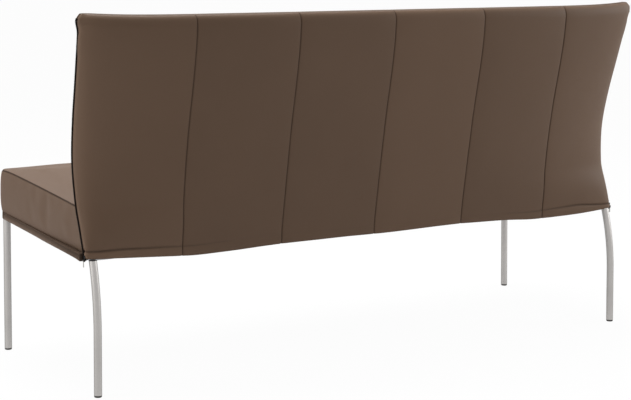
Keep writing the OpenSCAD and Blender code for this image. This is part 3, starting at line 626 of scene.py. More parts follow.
def hemCreaseAt(x):
    # Height of the sewn crease above the hem's edge: it drops towards the ends, more at the sitter's right
    left, right = coverLook["hemBand"]
    level = mix(right, left, ease(-300, 300, x))
    leftDrop, rightDrop = coverLook["hemDrop"]
    leftFrom, rightFrom = coverLook["hemDropFrom"]
    return level - leftDrop * ease(leftFrom, 783, x) - rightDrop * ease(rightFrom, 783, -np.asarray(x))


def calmedEnds(row, amount):
    # Evens out the tightly curved ends of one rolled row
    nearEnd = ease(26, 12, endX(row[:, 2]) - abs(row[:, 0]))[1:-1, None] * amount
    for _ in range(12):
        middle = (row[:-2] + 2 * row[1:-1] + row[2:]) / 4
        row = np.vstack([row[:1], mix(row[1:-1], middle, nearEnd), row[-1:]])
    return row


def coverRelief(grid, above):
    # How far the skin stands out from its plain sheet, and the shares of painted shade and painted light on
    # it
    look = coverLook
    x, z = grid[..., 0], grid[..., 2]
    seamGap = seamGapAt(x)
    halfPanel = sofa["panel"] / 2
    endGap = endX(z) - abs(x)
    reach = np.where(abs(x) > seams[-1], np.minimum(seamGap, endGap * 3), seamGap)
    panelPlace = np.clip(reach / halfPanel, 0, 1)
    steps = np.linalg.norm(np.diff(grid, axis=1), axis=2)
    travel = np.hstack([np.zeros((len(grid), 1)), np.cumsum(steps, 1)])
    fromEnd = np.minimum(travel, travel[:, -1:] - travel)
    groove = np.exp(-(seamGap / look["seamWidth"]) ** 2)
    valley = np.exp(-(seamGap / look["valleyWidth"]))
    middle = ease(420, 730, abs(x))
    hemLine = hemCreaseAt(x)
    hemCrease = np.exp(-((above - hemLine) / look["hemWidth"]) ** 2) * mix(0.05, 1, middle)
    hemSwell = np.exp(-((above - 10) / 6.5) ** 2) * mix(0.3, 1, middle)
    bead = np.exp(-((fromEnd - 6) / 5) ** 2)
    pucker = np.sin(z / 17 * 6.283 + 3 * np.sin(z / 61)) * np.exp(-seamGap / 16) * (1 - groove)
    tug = np.sin(x / 31 * 6.283 + 2 * np.sin(x / 83)) * np.exp(-abs(above - hemLine - 9) / 14)
    tug = tug * (above > hemLine)
    swell = look["panelCrown"] * (1 - (1 - panelPlace) ** 2.2) - look["valley"] * valley
    move = swell - look["seamDepth"] * groove - look["hemDepth"] * hemCrease + look["hemPuff"] * hemSwell
    move += look["rolledEdge"] * bead + look["pucker"] * (pucker + 0.7 * tug) + 0.5 * wavy(x, z, 11)
    # Painted shade in the sewn lines and the hem's crease; painted light on the rolled end edge and on the
    # strip below the hem's crease, more towards the sitter's left
    strip = ease(hemLine + 1, hemLine - 4, above) * middle
    depth = np.maximum(groove * 0.75, hemCrease * 0.62)
    wear = 0.35 * bead + (0.2 + 0.4 * ease(0, 300, x)) * strip
    return move, depth, wear


def coverRows(grid, flatNormal):
    # The skin's rows: the hem rolls under below the sheet, and the top edge rolls forward above it
    look = coverLook
    rows = []
    for turn in np.radians(look["hemAngles"]):
        inward, down = look["hemRoll"] * (1 - math.cos(turn)) * 0.9, look["hemRoll"] * math.sin(turn)
        rows.append(grid[0] - flatNormal[0] * inward - np.array([0, 0, down]))
    rows += list(grid)
    last = grid[-1]
    thick = rearY(last[:, 0], last[:, 2]) - frontY(last[:, 0], last[:, 2])
    deep = rollDeep(thick)[:, None]
    before = earShift(last[:, 0], last[:, 2])
    for turn in np.radians(look["rollAngles"]):
        up = np.array([0, 0, sofa["rollHigh"] * math.sin(turn)])
        row = last - flatNormal[-1] * deep * (1 - math.cos(turn)) + up
        row[:, 0] += earShift(last[:, 0] - before, row[:, 2]) - before
        rows.append(calmedEnds(row, math.sin(turn)))
    for inward, down in ((1.1, 0.7), (0.8, 2.2)):
        rows.append(rows[-1] - flatNormal[-1] * inward - np.array([0, 0, down]))
    return np.array(rows)


def makeRearCover():
    look = coverLook
    grid = coverGrid()
    move, sheetDepth, sheetLight = coverRelief(grid, grid[..., 2] - hemAt(grid[..., 0]))
    normal = rearNormals(grid)
    grid = grid + normal * move[..., None]
    flatNormal = normal * np.array([1, 1, 0])
    flatNormal /= np.linalg.norm(flatNormal, axis=2, keepdims=True)
    skin = coverRows(grid, flatNormal)
    hemRows, rollRows = len(look["hemAngles"]), len(look["rollAngles"]) + 2
    sheetRows = slice(hemRows, hemRows + len(grid))
    # Dark sewn lines and painted shade: the seams, the hem's crease, the rolled-under hem, the seams over
    # the top roll and the tucked top rows darken
    depth = np.zeros(skin.shape[:2])
    depth[sheetRows] = sheetDepth
    depth[:hemRows] = 0.15
    depth[-rollRows:] = np.exp(-(seamGapAt(skin[-rollRows:, :, 0]) / 1.5) ** 2) * 0.75
    depth[-2:] = 0.9
    # Painted light: each panel lit to its own level, plus the rolled end edge, the strip below the hem's
    # crease and the top of the roll
    wear = np.array(look["panelLight"])[np.searchsorted(seams, skin[..., 0])]
    wear[sheetRows] += sheetLight
    wear[-9:-5] += 0.3
    normals = rearNormals(skin)
    normals[:hemRows] = normal[0]
    lining = skin - normals * look["thick"]
    lining[:hemRows] = lining[hemRows] - (skin[hemRows] - skin[:hemRows]) * np.array([0.2, 0.2, 1])
    lining[-2:] = skin[-2:] - flatNormal[-1] * 0.8
    m, n = skin.shape[:2]
    half = m * n
    faces = gridFaces(m, n, 0) + gridFaces(m, n, half, flip=True)
    top = half - n
    for i in range(n - 1):
        faces.append([i + 1, i, half + i, half + i + 1])
        faces.append([top + i, top + i + 1, half + top + i + 1, half + top + i])
    for j in range(m - 1):
        low, high = j * n, (j + 1) * n
        faces.append([low, high, half + high, half + low])
        faces.append([high + n - 1, low + n - 1, half + low + n - 1, half + high + n - 1])
    points = np.vstack([skin.reshape(-1, 3), lining.reshape(-1, 3)])
    piece = makePiece("rearCover", points, faces, coverLeather)
    # The lining's faces are a little darker all over
    setShare(piece, "seamDepth", np.concatenate([depth.ravel(), np.full(half, 0.3)]))
    setShare(piece, "wear", np.concatenate([wear.ravel(), np.zeros(half)]))
    mergeDoubles(piece)
    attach(piece, "sofa")
    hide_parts("rear_cover")
    print("rear cover made:", len(faces), "faces")
    return grid


coverSurface = makeRearCover()

# Front pad: six channels, a rolled top and rolled ends
padLook = {
    "seamDepth": 3.2, "seamWidth": 2.4, "coverGap": 6.3, "coreGap": 2.4, "zipSetBack": -2.5,
    "endInset": 4.8, "topTuck": 2.2, "dome": 1.8, "faceRows": 46,
    "stiffness": 14, "bending": 0.6, "slack": 0.03, "pressure": 3.0, "frames": 20, "cap": 6,
}


def padHalfColumns():
    # Columns close together at the sewn lines and wider between them, up to the core's end
    near = [0, 2, 4.5, 9, 16, 26, 38, 52, 68, 85, 102, 119]
    half = {float(d) for d in near + [sofa["panel"] / 2]}
    for s in (sofa["panel"], 2 * sofa["panel"]):
        half.update(float(s + d) for d in near + [sofa["panel"] / 2])
        half.update(float(s - d) for d in near)
    return sorted(x for x in half if x <= 612) + [626, 640, 655, 670, 685, sofa["coreHalf"]]


padHalf = np.array(padHalfColumns(), float)


def padPlans():
    # The pad's loops upwards: the foot opens out, then the face and the rolled edge, and the top closes in
    plans = [("foot", v) for v in (0.5, 0.34, 0.18, 0.06)]
    plans += [("face", v) for v in list(np.arange(0, 1, 1 / padLook["faceRows"])) + [1]]
    plans += [("roll", v) for v in (12, 24, 36, 48, 60, 72, 82, 90)]
    return plans + [("top", v) for v in (0.16, 0.32, 0.42, 0.47, 0.5)]


def padColumns(z):
    # Columns over the channels, then towards the rolled end and round it
    between = np.linspace(0, 1, 7)[1:]
    rolled = np.sin(np.radians(np.linspace(0, 90, 15)[1:]))
    rollX = endX(z) - sofa["endRoll"]
    toRoll = sofa["coreHalf"] + (rollX - sofa["coreHalf"]) * between
    half = np.concatenate([padHalf, toRoll, rollX + sofa["endRoll"] * rolled])
    return np.concatenate([-half[:0:-1], half])


def pastCore(x, ends, wanted):
    # Stretches what lies past the core, so that the ends come where they are wanted
    core = sofa["coreHalf"]
    stretchedX = core + (abs(x) - core) * (wanted - core) / (ends - core)
    return np.where(abs(x) > core, stretchedX, abs(x)) * np.sign(x)


def padLoop(kind, v, footLevel, topLevel):
    # One closed loop of the pad, front side first, with what cloth may move and how dark it is
    look = padLook
    level = {"foot": footLevel, "face": mix(footLevel, topLevel, v)}.get(kind, topLevel)
    x = padColumns(level)
    flat = np.full_like(x, level)
    thick = rearY(x, flat, look["coverGap"], look["zipSetBack"]) - frontY(x, flat)
    radius = np.minimum(sofa["topRadius"], 0.46 * np.maximum(thick, 0.1))
    foot = padFoot(x, np.minimum(frontY(x, np.full_like(x, footLevel)), cushionBack - 10))
    low = 1 - ease(footLevel, footLevel + 90, level)
    high = ease(footLevel + 250, topLevel, level)
    z = level + low * (foot - footLevel) + high * (topAt(x) - radius - topLevel)
    ends = endX(z)
    frontX = pastCore(x, endX(level), ends)
    backX = pastCore(frontX, ends, ends - look["endInset"])
    behind = rearY(backX, z, look["coverGap"], look["zipSetBack"])
    onCore = np.where(abs(backX) <= sofa["coreHalf"] + 0.01, coreY(backX, z) - look["coreGap"], behind)
    pastTop = {"foot": 0.0, "face": ease(sofa["height"] - 60, sofa["height"] - 36, z)}.get(kind, 1.0)
    front, back = frontY(frontX, z), mix(onCore, behind, pastTop)
    lift = 0.0
    if kind in ("roll", "top"):
        turn = math.radians(v) if kind == "roll" else math.pi / 2
        lift = radius * math.sin(turn)
        front = front + radius * (1 - math.cos(turn))
        deep, under = thick + look["coverGap"], radius - lift
        nearTop = rollDeep(deep) + look["topTuck"] - look["coverGap"]
        back = back - np.maximum(np.where(under < 4, nearTop, topInset(under, deep)), 0)
    closed = 2 * v if kind in ("foot", "top") else 0.0
    shifted = earShift(frontX, z + lift)
    frontX, backX = frontX + shifted, backX + shifted
    middleX, middleY = (frontX + backX) / 2, (front + back) / 2
    dome = look["dome"] * math.sin(math.pi * v) * np.minimum(1, thick / 40) if kind == "top" else 0.0
    height = z + lift + dome
    frontSide = np.stack([mix(frontX, middleX, closed), mix(front, middleY, closed), height], -1)
    backSide = np.stack([mix(backX, middleX, closed), mix(back, middleY, closed), height], -1)[-2:0:-1]
    gap = seamGapAt(x)
    fixed = kind in ("foot", "top") or (kind == "face" and v == 0)
    held = (gap < 1) | (abs(x) > endX(level) - 8) | fixed
    # Dark sewn lines and painted shade: the channels' sewn grooves darken, less at the foot, and the pad's
    # inner side a little
    dark = np.exp(-(gap / look["seamWidth"]) ** 2) * (0.3 if kind == "foot" else 0.8)
    inside = len(backSide)
    held = np.concatenate([held, np.ones(inside)])
    return np.vstack([frontSide, backSide]), held, np.concatenate([dark, np.full(inside, 0.3)])


def makeFrontPad():
    look = padLook
    footLevel = seamHeight(cushionBack) + sofa["crown"] * 0.75
    loops = [padLoop(kind, v, footLevel, topEdge - sofa["topRadius"]) for kind, v in padPlans()]
    stack, held, dark = (np.array(part) for part in zip(*loops))
    m, n = stack.shape[:2]
    piece = makePiece("frontPad", stack, gridFaces(m, n, wrap=True), seatLeather)
    setShare(piece, "seamDepth", dark.ravel())
    setShare(piece, "held", held.ravel())
    mergeDoubles(piece, 0.00001)
    layer = piece.data.attributes["held"]
    held = np.zeros(len(piece.data.vertices), np.float32)
    layer.data.foreach_get("value", held)
    puff(piece, held.astype(float), look)
    piece.data.attributes.remove(piece.data.attributes["held"])
    # The sewn lines are drawn in after the pad has settled
    points = getPoints(piece) * 1000
    facing = points[:, 1] < frontY(points[:, 0], points[:, 2]) + 18
    draw = look["seamDepth"] * np.exp(-(seamGapAt(points[:, 0]) / look["seamWidth"]) ** 2) * facing
    upper = ease(sofa["height"] - 34, sofa["height"] - 8, points[:, 2])
    points[:, 1] += draw * (1 - 0.7 * upper)
    points[:, 2] -= draw * upper * 0.8
    setPoints(piece, points * 0.001)
    subdivide(piece)
    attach(piece, "sofa")
    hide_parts("front_pad")
    print("front pad made:", len(piece.data.polygons), "faces")


makeFrontPad()

# Seat cushion: one boxed cushion whose sides run back to the zips
cushionLook = {
    "bulge": 3.2, "boxRows": 13, "seamDepth": 3.2, "seamWidth": 1.6, "seamShade": 2.1, "seamHold": 0.9,
    "frontDip": 0.8, "cornerDip": 2.4, "footShade": 0.22, "footFade": 7,
    "tuckAt": 13, "tuckHigh": 7, "tuckWide": 8.5, "tuckDepth": 1.6,
    # Rings under the foot, as their level and how far out they stand
    "footRings": [
        (0.06, -8), (0.035, -6.6), (0.008, -5.6), (-0.010, -4.4), (-0.012, -2.6), (-0.012, 0.1),
        (-0.003, 1.5),
    ],
    "stiffness": 18, "bending": 3.0, "slack": 0.004, "pressure": 2.2, "frames": 20, "cap": 5,
}


def distanceTo(points, line):
    # Distance of each point from the nearest of many dots set along a line
    steps = np.linspace(0, 1, 6)[:-1, None, None]
    dots = mix(line[None, :-1], line[None, 1:], steps).reshape(-1, 3)
    tree = KDTree(len(dots))
    for i, dot in enumerate(dots):
        tree.insert(dot, i)
    tree.balance()
    return np.array([tree.find(point)[2] for point in points])


def rearBorder(x, z):
    # Rear end of the cushion: straight behind, and along the zip line at the sides
    side = ease(sideX(railRear) - sofa["cheek"] - 14, sideX(railRear) - sofa["cheek"] - 2, abs(x))
    zipSide = endY(z) - sofa["zipWidth"] / 2 - 2.3
    recess = np.minimum(cushionBack, zipSide)
    wide = ease(703, 716, abs(x))
    straight = mix(cushionBack, recess, wide)
    return mix(straight, np.where(z < 430, np.minimum(zipSide, railRear + 4), zipSide), side)


def sideBulge(level):
    return 0.3 + 1.5 * (1 - level) ** 3 + cushionLook["bulge"] * (1 - abs(2 * level - 1) ** 2.9)


def footHeight(y):
    return baseAt(y, bandTop(y) + 0.8)


def seatHeightAt(x, y, level):
    # The front edge of the sewn line dips a little, most at the corners
    look = cushionLook
    atFront = np.exp(-((y - frontEdge) / 45) ** 2)
    dip = atFront * (look["frontDip"] + look["cornerDip"] * ease(640, 780, abs(x)))
    return mix(footHeight(y), seamHeight(y) - dip, level)


def seatSheet(level, out):
    # A level sheet of the cushion: level 0 is its foot, 1 the sewn line
    across = np.concatenate([np.linspace(0, 0.86, 34), 1 - 0.14 * np.linspace(1, 0, 14)[1:] ** 2.2])
    across = np.concatenate([-across[:0:-1], across])
    first, last = mix(0, 0.1, np.linspace(0, 1, 13) ** 2.2), 1 - 0.07 * np.linspace(1, 0, 8)[1:] ** 1.6
    uu, vv = np.meshgrid(across, np.concatenate([first, np.linspace(0.1, 0.93, 26)[1:], last]))
    y = mix(frontEdge, cushionBack, vv)
    x = uu * sideX(y)
    r, power = sofa["cornerRadius"], sofa["cornerPower"]
    for _ in range(3):
        back = rearBorder(x, seatHeightAt(x, y, level)) + min(out, 0)
        front = frontEdge + sofa["draw"] * (2 - np.clip(abs(x) / 780, 0, 1) ** 2) - out
        y = mix(front, back, vv)
        inCorner = np.clip(1 - (y - front) / r, 0, 1)
        shrink = r * (1 - (1 - inCorner ** power) ** (1 / power))
        along = np.clip((y - cornerLine) / (cushionBack - cornerLine), 0, 1)
        waist = sofa["draw"] * (1 + np.sin(math.pi * along))
        x = uu * (sideX(y) - waist + out - shrink)
    return np.stack([x, y, seatHeightAt(x, y, level)], -1)


def border(grid):
    # What lies round the edge of a grid, in order
    return np.concatenate([grid[0, :-1], grid[:-1, -1], grid[-1, :0:-1], grid[:0:-1, 0]])


def seatShell():
    # The unsettled cushion: its top and foot sheets, and the rings of its side between them
    look = cushionLook
    bulges = [(t, sideBulge(t)) for t in np.linspace(0, 1, look["boxRows"])]
    near = [(t, sideBulge(t)) for t in (0.965, 0.985, 0.994)]
    bulges = look["footRings"] + bulges[1:-1] + near + bulges[-1:]
    top, base = seatSheet(*bulges[-1]), seatSheet(*bulges[0])
    rows, columns = top.shape[:2]
    fromSide = sideX(top[..., 1]) - sofa["draw"] - abs(top[..., 0])
    fromFront, fromBack = top[..., 1] - frontEdge - 2, cushionBack - top[..., 1]
    away = np.minimum(np.minimum(fromSide, fromFront), np.maximum(fromBack, 0))
    crown = crownShare(np.maximum(away, 0.6)) * sofa["crown"]
    top[1:-1, 1:-1, 2] += crown[1:-1, 1:-1]
    rings = [border(seatSheet(t, out)) for t, out in bulges[1:-1]]
    sheetSize = rows * columns
    faces = gridFaces(rows, columns) + gridFaces(rows, columns, sheetSize, flip=True)
    upper = border(np.arange(sheetSize).reshape(rows, columns))
    n = len(upper)
    chain = [upper + sheetSize] + [np.arange(n) + 2 * sheetSize + k * n for k in range(len(rings))] + [upper]
    for low, high in zip(chain[:-1], chain[1:]):
        nextLow, nextHigh = np.roll(low, -1), np.roll(high, -1)
        faces += np.stack([low, nextLow, nextHigh, high], -1).tolist()
    return np.vstack([top.reshape(-1, 3), base.reshape(-1, 3)] + rings), faces, upper, sheetSize


def seatHeld(points, upper, sheetSize):
    # How firmly cloth is held: fully at the foot and the back, softly by the sewn line
    x, y, z = points.T
    number = np.arange(len(points))
    held = np.where((number >= sheetSize) & (number < 2 * sheetSize), 1.0, 0.0)
    held[upper] = 1
    held[y > rearBorder(x, z) - 2] = 1
    held = np.maximum(held, np.where(y > 120, 0.6, 0))
    held = np.maximum(held, 1 - ease(4, 22, z - footHeight(y)))
    fromSeam = distanceTo(points, points[np.append(upper, upper[0])])
    onTop = number < sheetSize
    return np.maximum(held, np.where(onTop, cushionLook["seamHold"] * (1 - ease(10, 110, fromSeam)), 0))


def makeSeat():
    look = cushionLook
    points, faces, upper, sheetSize = seatShell()
    x, y, z = points.T
    toZip = endY(z) - sofa["zipWidth"] / 2 - y
    belowSeam = seamHeight(y) - look["tuckAt"] - z
    tuck = np.exp(-(toZip / look["tuckWide"]) ** 2 - (belowSeam / look["tuckHigh"]) ** 2)
    tuck = np.where(abs(x) > 765, tuck, 0)
    aboveFoot = np.maximum(z - footHeight(y), 0)
    footShade = look["footShade"] * np.exp(-(aboveFoot / look["footFade"]) ** 2)
    held = seatHeld(points, upper, sheetSize)
    piece = makePiece("seatCushion", points, faces, seatLeather)
    puff(piece, held, look)
    # The sewn line and the tuck at the zip are drawn in after the cushion has settled
    moved = getPoints(piece) * 1000
    seamY = moved[upper, 1]
    gap = distanceTo(moved, moved[np.append(upper, upper[0])])
    groove = np.exp(-(gap / look["seamWidth"]) ** 2)
    inSide = ease(700, 790, abs(moved[:, 0]))
    inFront = ease(-250, -310, moved[:, 1])
    inward = np.stack([-np.sign(moved[:, 0]) * inSide, inFront, -0.3 * np.maximum(inSide, inFront)], -1)
    inward /= np.maximum(np.linalg.norm(inward, axis=1, keepdims=True), 1)
    moved += inward * (look["seamDepth"] * groove)[:, None]
    moved[:, 0] -= np.sign(moved[:, 0]) * look["tuckDepth"] * tuck
    setPoints(piece, moved * 0.001)
    # Dark sewn line and painted shade: the sewn line's groove, the tuck at the zip and the crease above the
    # foot darken
    setShare(piece, "seamDepth", np.maximum.reduce([groove * look["seamShade"], tuck, footShade]))
    subdivide(piece)
    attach(piece, "sofa")
    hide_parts("seat_cushion", "left_cheek", "right_cheek")
    print("seat made:", len(faces), "faces")
    return moved[upper][seamY < 150]


seatSeam = makeSeat()

# Base band: leather over a strip, with a rolled rear end on each side
bandLook = {
    "sections": 26, "lift": 5.4, "reach": 19.5, "bead": 11.5, "cornerPower": 0.74, "squareness": 0.28,
    # dark, darkFrom and ledge set the band's painted shade
    "darkFrom": 230, "dark": 0.68, "ledge": 0.55, "topGap": 0.3,
}


def tiltedToFloor(points):
    points = np.asarray(points, float)
    c, s = math.cos(tilt), math.sin(tilt)
    y, z = points[..., 1], points[..., 2]
    return np.stack([points[..., 0], y * c + z * s, baseHeight - y * s + z * c], -1)


def bandSection(thick, height, swell):
    # Rounded upright strip: half profile outwards, then back inwards
    angles = np.radians(np.linspace(-90, 270, bandLook["sections"], endpoint=False))
    power = bandLook["squareness"]
    c, s = np.cos(angles), np.sin(angles)
    across = np.sign(c) * abs(c) ** power * (thick / 2 + swell * np.maximum(c, 0))
    up = height / 2 + np.sign(s) * abs(s) ** power * height / 2
    return across, up


def sweepBand(name, path, outward, thick, heights, lifts, swells, nodeName, ends):
    loops = []
    for p, o, t, h, l, s in zip(path, outward, thick, heights, lifts, swells):
        across, up = bandSection(t, h, s)
        loops.append(np.stack([p[0] + o[0] * across, p[1] + o[1] * across, l + up], -1))
    for where, scale in ends:
        base = loops[0] if where == 0 else loops[-1]
        centre = base.mean(0)
        tip = path[0] - path[1] if where == 0 else path[-1] - path[-2]
        tip = np.array([*(tip / np.linalg.norm(tip)), 0])
        caps = []
        for a in np.radians([25, 48, 68, 84]):
            caps.append(centre + (base - centre) * math.cos(a) + tip * scale * math.sin(a))
        loops = caps[::-1] + loops if where == 0 else loops + caps
    stack = tiltedToFloor(np.array(loops))
    m, n = stack.shape[:2]
    faces = tubeFaces(m, n)
    piece = makePiece(name, stack, faces, bandLeather)
    # Painted shade: the band darkens towards its top under the cushion's overhang, more towards the rear and
    # less on the top ledge, and its rolled tip is dark as in shadow
    rear = ease(railRear - bandLook["darkFrom"], railRear - 30, stack[..., 1].ravel())
    high = np.array(loops)[..., 2].ravel() / bandTop(stack[..., 1].ravel())
    ledge = 1 - bandLook["ledge"] * ease(0.88, 1.0, high)
    high = ease(0.25 - 0.2 * rear, 0.9 - 0.1 * rear, high) * ledge
    tip = ease(railRear - 23, railRear - 16, stack[..., 1].ravel())
    setShare(piece, "seamDepth", np.maximum((bandLook["dark"] + 0.1 * rear) * high, tip))
    mergeDoubles(piece)
    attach(piece, "sofa")
    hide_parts(nodeName)
    return piece


def makeFrontBand():
    look, thick, r = bandLook, sofa["bandThick"], sofa["cornerRadius"]
    cornerX = sideX(cornerLine) - r
    arc = []
    for a in np.radians(np.linspace(0, 89, 12)):
        out = (r - thick / 2) * math.sin(a) ** look["cornerPower"]
        along = (r - thick / 2) * math.cos(a) ** look["cornerPower"]
        arc.append((cornerX + out, cornerLine - along, math.sin(a), -math.cos(a)))
    straight = [(x, frontEdge + thick / 2, 0.0, -1.0) for x in np.linspace(0, cornerX, 24)[:-1]]
    left = np.array(straight + arc)
    whole = np.vstack([left[:0:-1] * np.array([-1, 1, -1, 1]), left])
    path, outward, n = whole[:, :2], whole[:, 2:], len(whole)
    heights = bandTop(whole[:, 1]) - look["topGap"]
    sweepBand("frontBand", path, outward, [thick] * n, heights, [0.2] * n, [0.5] * n, "front_band", [])


def makeSideBand(side, name, nodeName):
    # A side strip flares outwards and lifts a little towards its rolled rear end
    look = bandLook
    rearEnd = railRear - look["reach"]
    rearPart = np.linspace(railRear - 60, rearEnd, 11)[1:]
    y = np.concatenate([np.linspace(cornerLine + 0.5, railRear - 60, 26), rearPart])
    outer = sideX(y) + ease(railRear - 330, rearEnd, y) * look["bead"]
    inner = sideX(y) - sofa["bandThick"]
    settling = 1 - 0.25 * ease(railRear - 45, rearEnd, y)
    rise = look["lift"] * ease(railRear - 275, railRear - 60, y) * settling
    path = np.stack([side * (outer + inner) / 2, y], -1)
    outward = np.tile([float(side), 0.0], (len(y), 1))
    heights = bandTop(y) - look["topGap"] - rise
    sweepBand(name, path, outward, outer - inner, heights, 0.2 + rise, 0.4 + 0 * y, nodeName, [(1, 6.2)])


makeFrontBand()
makeSideBand(1, "leftBand", "left_band")
makeSideBand(-1, "rightBand", "right_band")
print("bands made")


# Tuck pad behind the cushion
def makeTuckPad():
    low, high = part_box("tuck_pad")
    low, high = np.array(low) * 1000 + 0.6, np.array(high) * 1000 - 0.6
    rows, endRadius = [], 6
    for x in np.linspace(low[0], high[0], 40):
        past = max(0, abs(x) - (high[0] - endRadius))
        inset = endRadius * (1 - math.sqrt(max(0, 1 - past ** 2 / endRadius ** 2)))
        loop = []
        for a in np.radians(np.linspace(0, 360, 20, endpoint=False)):
            c, s = math.cos(a), math.sin(a)
            z = mix(low[2], high[2], 0.5 + 0.5 * np.sign(s) * abs(s) ** 0.4 * (1 - inset / 40))
            lean = (z - low[2]) * 0.17
            y = mix(low[1], high[1] - 20 + lean, 0.5 + 0.5 * np.sign(c) * abs(c) ** 0.5)
            loop.append((x, y, z))
        rows.append(loop)
    stack = np.array(rows)
    m, n = stack.shape[:2]
    faces = tubeFaces(m, n)
    piece = makePiece("tuckPad", stack, faces, seatLeather)
    mergeDoubles(piece)
    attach(piece, "sofa")
    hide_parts("tuck_pad")


makeTuckPad()


# What repeats along a line: stitches and zip teeth, by geometry nodes
def repeatTree(name, material, boxy):
    tree = bpy.data.node_groups.new(name, "GeometryNodeTree")
    tree.interface.new_socket("Line", in_out="INPUT", socket_type="NodeSocketGeometry")
    sizes = {}
    usual = {"Pitch": 0.005, "Length": 0.0034, "Width": 0.0008, "Height": 0.0006, "Stagger": 0.0}
    for label, value in usual.items():
        socket = tree.interface.new_socket(label, in_out="INPUT", socket_type="NodeSocketFloat")
        socket.default_value = value
        sizes[label] = socket.identifier
    seed = tree.interface.new_socket("Seed", in_out="INPUT", socket_type="NodeSocketInt")
    seed.default_value = 7
    sizes["Seed"] = seed.identifier
    tree.interface.new_socket("Pieces", in_out="OUTPUT", socket_type="NodeSocketGeometry")
    start = tree.nodes.new("NodeGroupInput")
    end = tree.nodes.new("NodeGroupOutput")
    link = tree.links.new
    line = tree.nodes.new("GeometryNodeMeshToCurve")
    link(start.outputs["Line"], line.inputs["Mesh"])
    dots = tree.nodes.new("GeometryNodeCurveToPoints")
    dots.mode = "LENGTH"
    link(line.outputs["Curve"], dots.inputs["Curve"])
    link(start.outputs["Pitch"], dots.inputs["Length"])
    turn = tree.nodes.new("FunctionNodeAlignRotationToVector")
    turn.axis = "Z"
    link(dots.outputs["Tangent"], turn.inputs["Vector"])
    if boxy:
        unit = tree.nodes.new("GeometryNodeMeshCube")
        unit.inputs["Size"].default_value = (1, 1, 1)
    else:
        unit = tree.nodes.new("GeometryNodeMeshUVSphere")
        unit.inputs["Segments"].default_value = 7
        unit.inputs["Rings"].default_value = 5
        unit.inputs["Radius"].default_value = 0.5
    vary = tree.nodes.new("FunctionNodeRandomValue")
    vary.data_type = "FLOAT"
    vary.inputs[2].default_value, vary.inputs[3].default_value = 0.92, 1.08
    link(start.outputs["Seed"], vary.inputs["Seed"])
    stretch = tree.nodes.new("ShaderNodeMath")
    stretch.operation = "MULTIPLY"
    link(start.outputs["Length"], stretch.inputs[0])
    link(vary.outputs[1], stretch.inputs[1])
    size = tree.nodes.new("ShaderNodeCombineXYZ")
    link(start.outputs["Width"], size.inputs["X"])
    link(start.outputs["Height"], size.inputs["Y"])
    link(stretch.outputs[0], size.inputs["Z"])
    place = tree.nodes.new("GeometryNodeInstanceOnPoints")
    link(dots.outputs["Points"], place.inputs["Points"])
    link(unit.outputs["Mesh"], place.inputs["Instance"])
    link(turn.outputs["Rotation"], place.inputs["Rotation"])
    link(size.outputs["Vector"], place.inputs["Scale"])
    number = tree.nodes.new("GeometryNodeInputIndex")
    parity = tree.nodes.new("ShaderNodeMath")
    parity.operation = "PINGPONG"
    parity.inputs[1].default_value = 1
    link(number.outputs[0], parity.inputs[0])
    centred = tree.nodes.new("ShaderNodeMath")
    centred.operation = "MULTIPLY_ADD"
    centred.inputs[1].default_value, centred.inputs[2].default_value = 2, -1
    link(parity.outputs[0], centred.inputs[0])
    shift = tree.nodes.new("ShaderNodeMath")
    shift.operation = "MULTIPLY"
    link(centred.outputs[0], shift.inputs[0])
    link(start.outputs["Stagger"], shift.inputs[1])
    offset = tree.nodes.new("ShaderNodeCombineXYZ")
    link(shift.outputs[0], offset.inputs["Y"])
    move = tree.nodes.new("GeometryNodeTranslateInstances")
    move.inputs["Local Space"].default_value = False
    link(place.outputs["Instances"], move.inputs["Instances"])
    link(offset.outputs["Vector"], move.inputs["Translation"])
    real = tree.nodes.new("GeometryNodeRealizeInstances")
    link(move.outputs["Instances"], real.inputs["Geometry"])
    coat = tree.nodes.new("GeometryNodeSetMaterial")
    coat.inputs["Material"].default_value = material
    link(real.outputs["Geometry"], coat.inputs["Geometry"])
    link(coat.outputs["Geometry"], end.inputs["Pieces"])
    return tree, sizes


stitchTree, stitchInputs = repeatTree("stitchRow", threadFinish, False)
toothTree, toothInputs = repeatTree("zipTeeth", zipPlastic, True)


def repeatAlong(name, lines, tree, inputs, values, material, smooth=True):
    points, edges = [], []
    for line in lines:
        begin = len(points)
        points += (np.asarray(line) * 0.001).tolist()
        edges += [(begin + i, begin + i + 1) for i in range(len(line) - 1)]
    guide = bpy.data.meshes.new(name + "Guide")
    guide.from_pydata(points, edges, [])
    holder = bpy.data.objects.new(name + "Guide", guide)
    bpy.context.scene.collection.objects.link(holder)
    modifier = holder.modifiers.new("repeat", "NODES")
    modifier.node_group = tree
    for label, value in values.items():
        modifier[inputs[label]] = value
    ready = holder.evaluated_get(bpy.context.evaluated_depsgraph_get())
    mesh = bpy.data.meshes.new_from_object(ready)
    mesh.name = name
    bpy.data.objects.remove(holder)
    if not mesh.materials:
        mesh.materials.append(material)
    mesh.polygons.foreach_set("use_smooth", np.full(len(mesh.polygons), smooth))
    piece = bpy.data.objects.new(name, mesh)
    bpy.context.scene.collection.objects.link(piece)
    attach(piece, "sofa")
    print(name, "made:", len(mesh.polygons), "faces")
    return piece


stitchLook = {"Pitch": 0.0052, "Length": 0.0036, "Width": 0.0008, "Height": 0.0008}


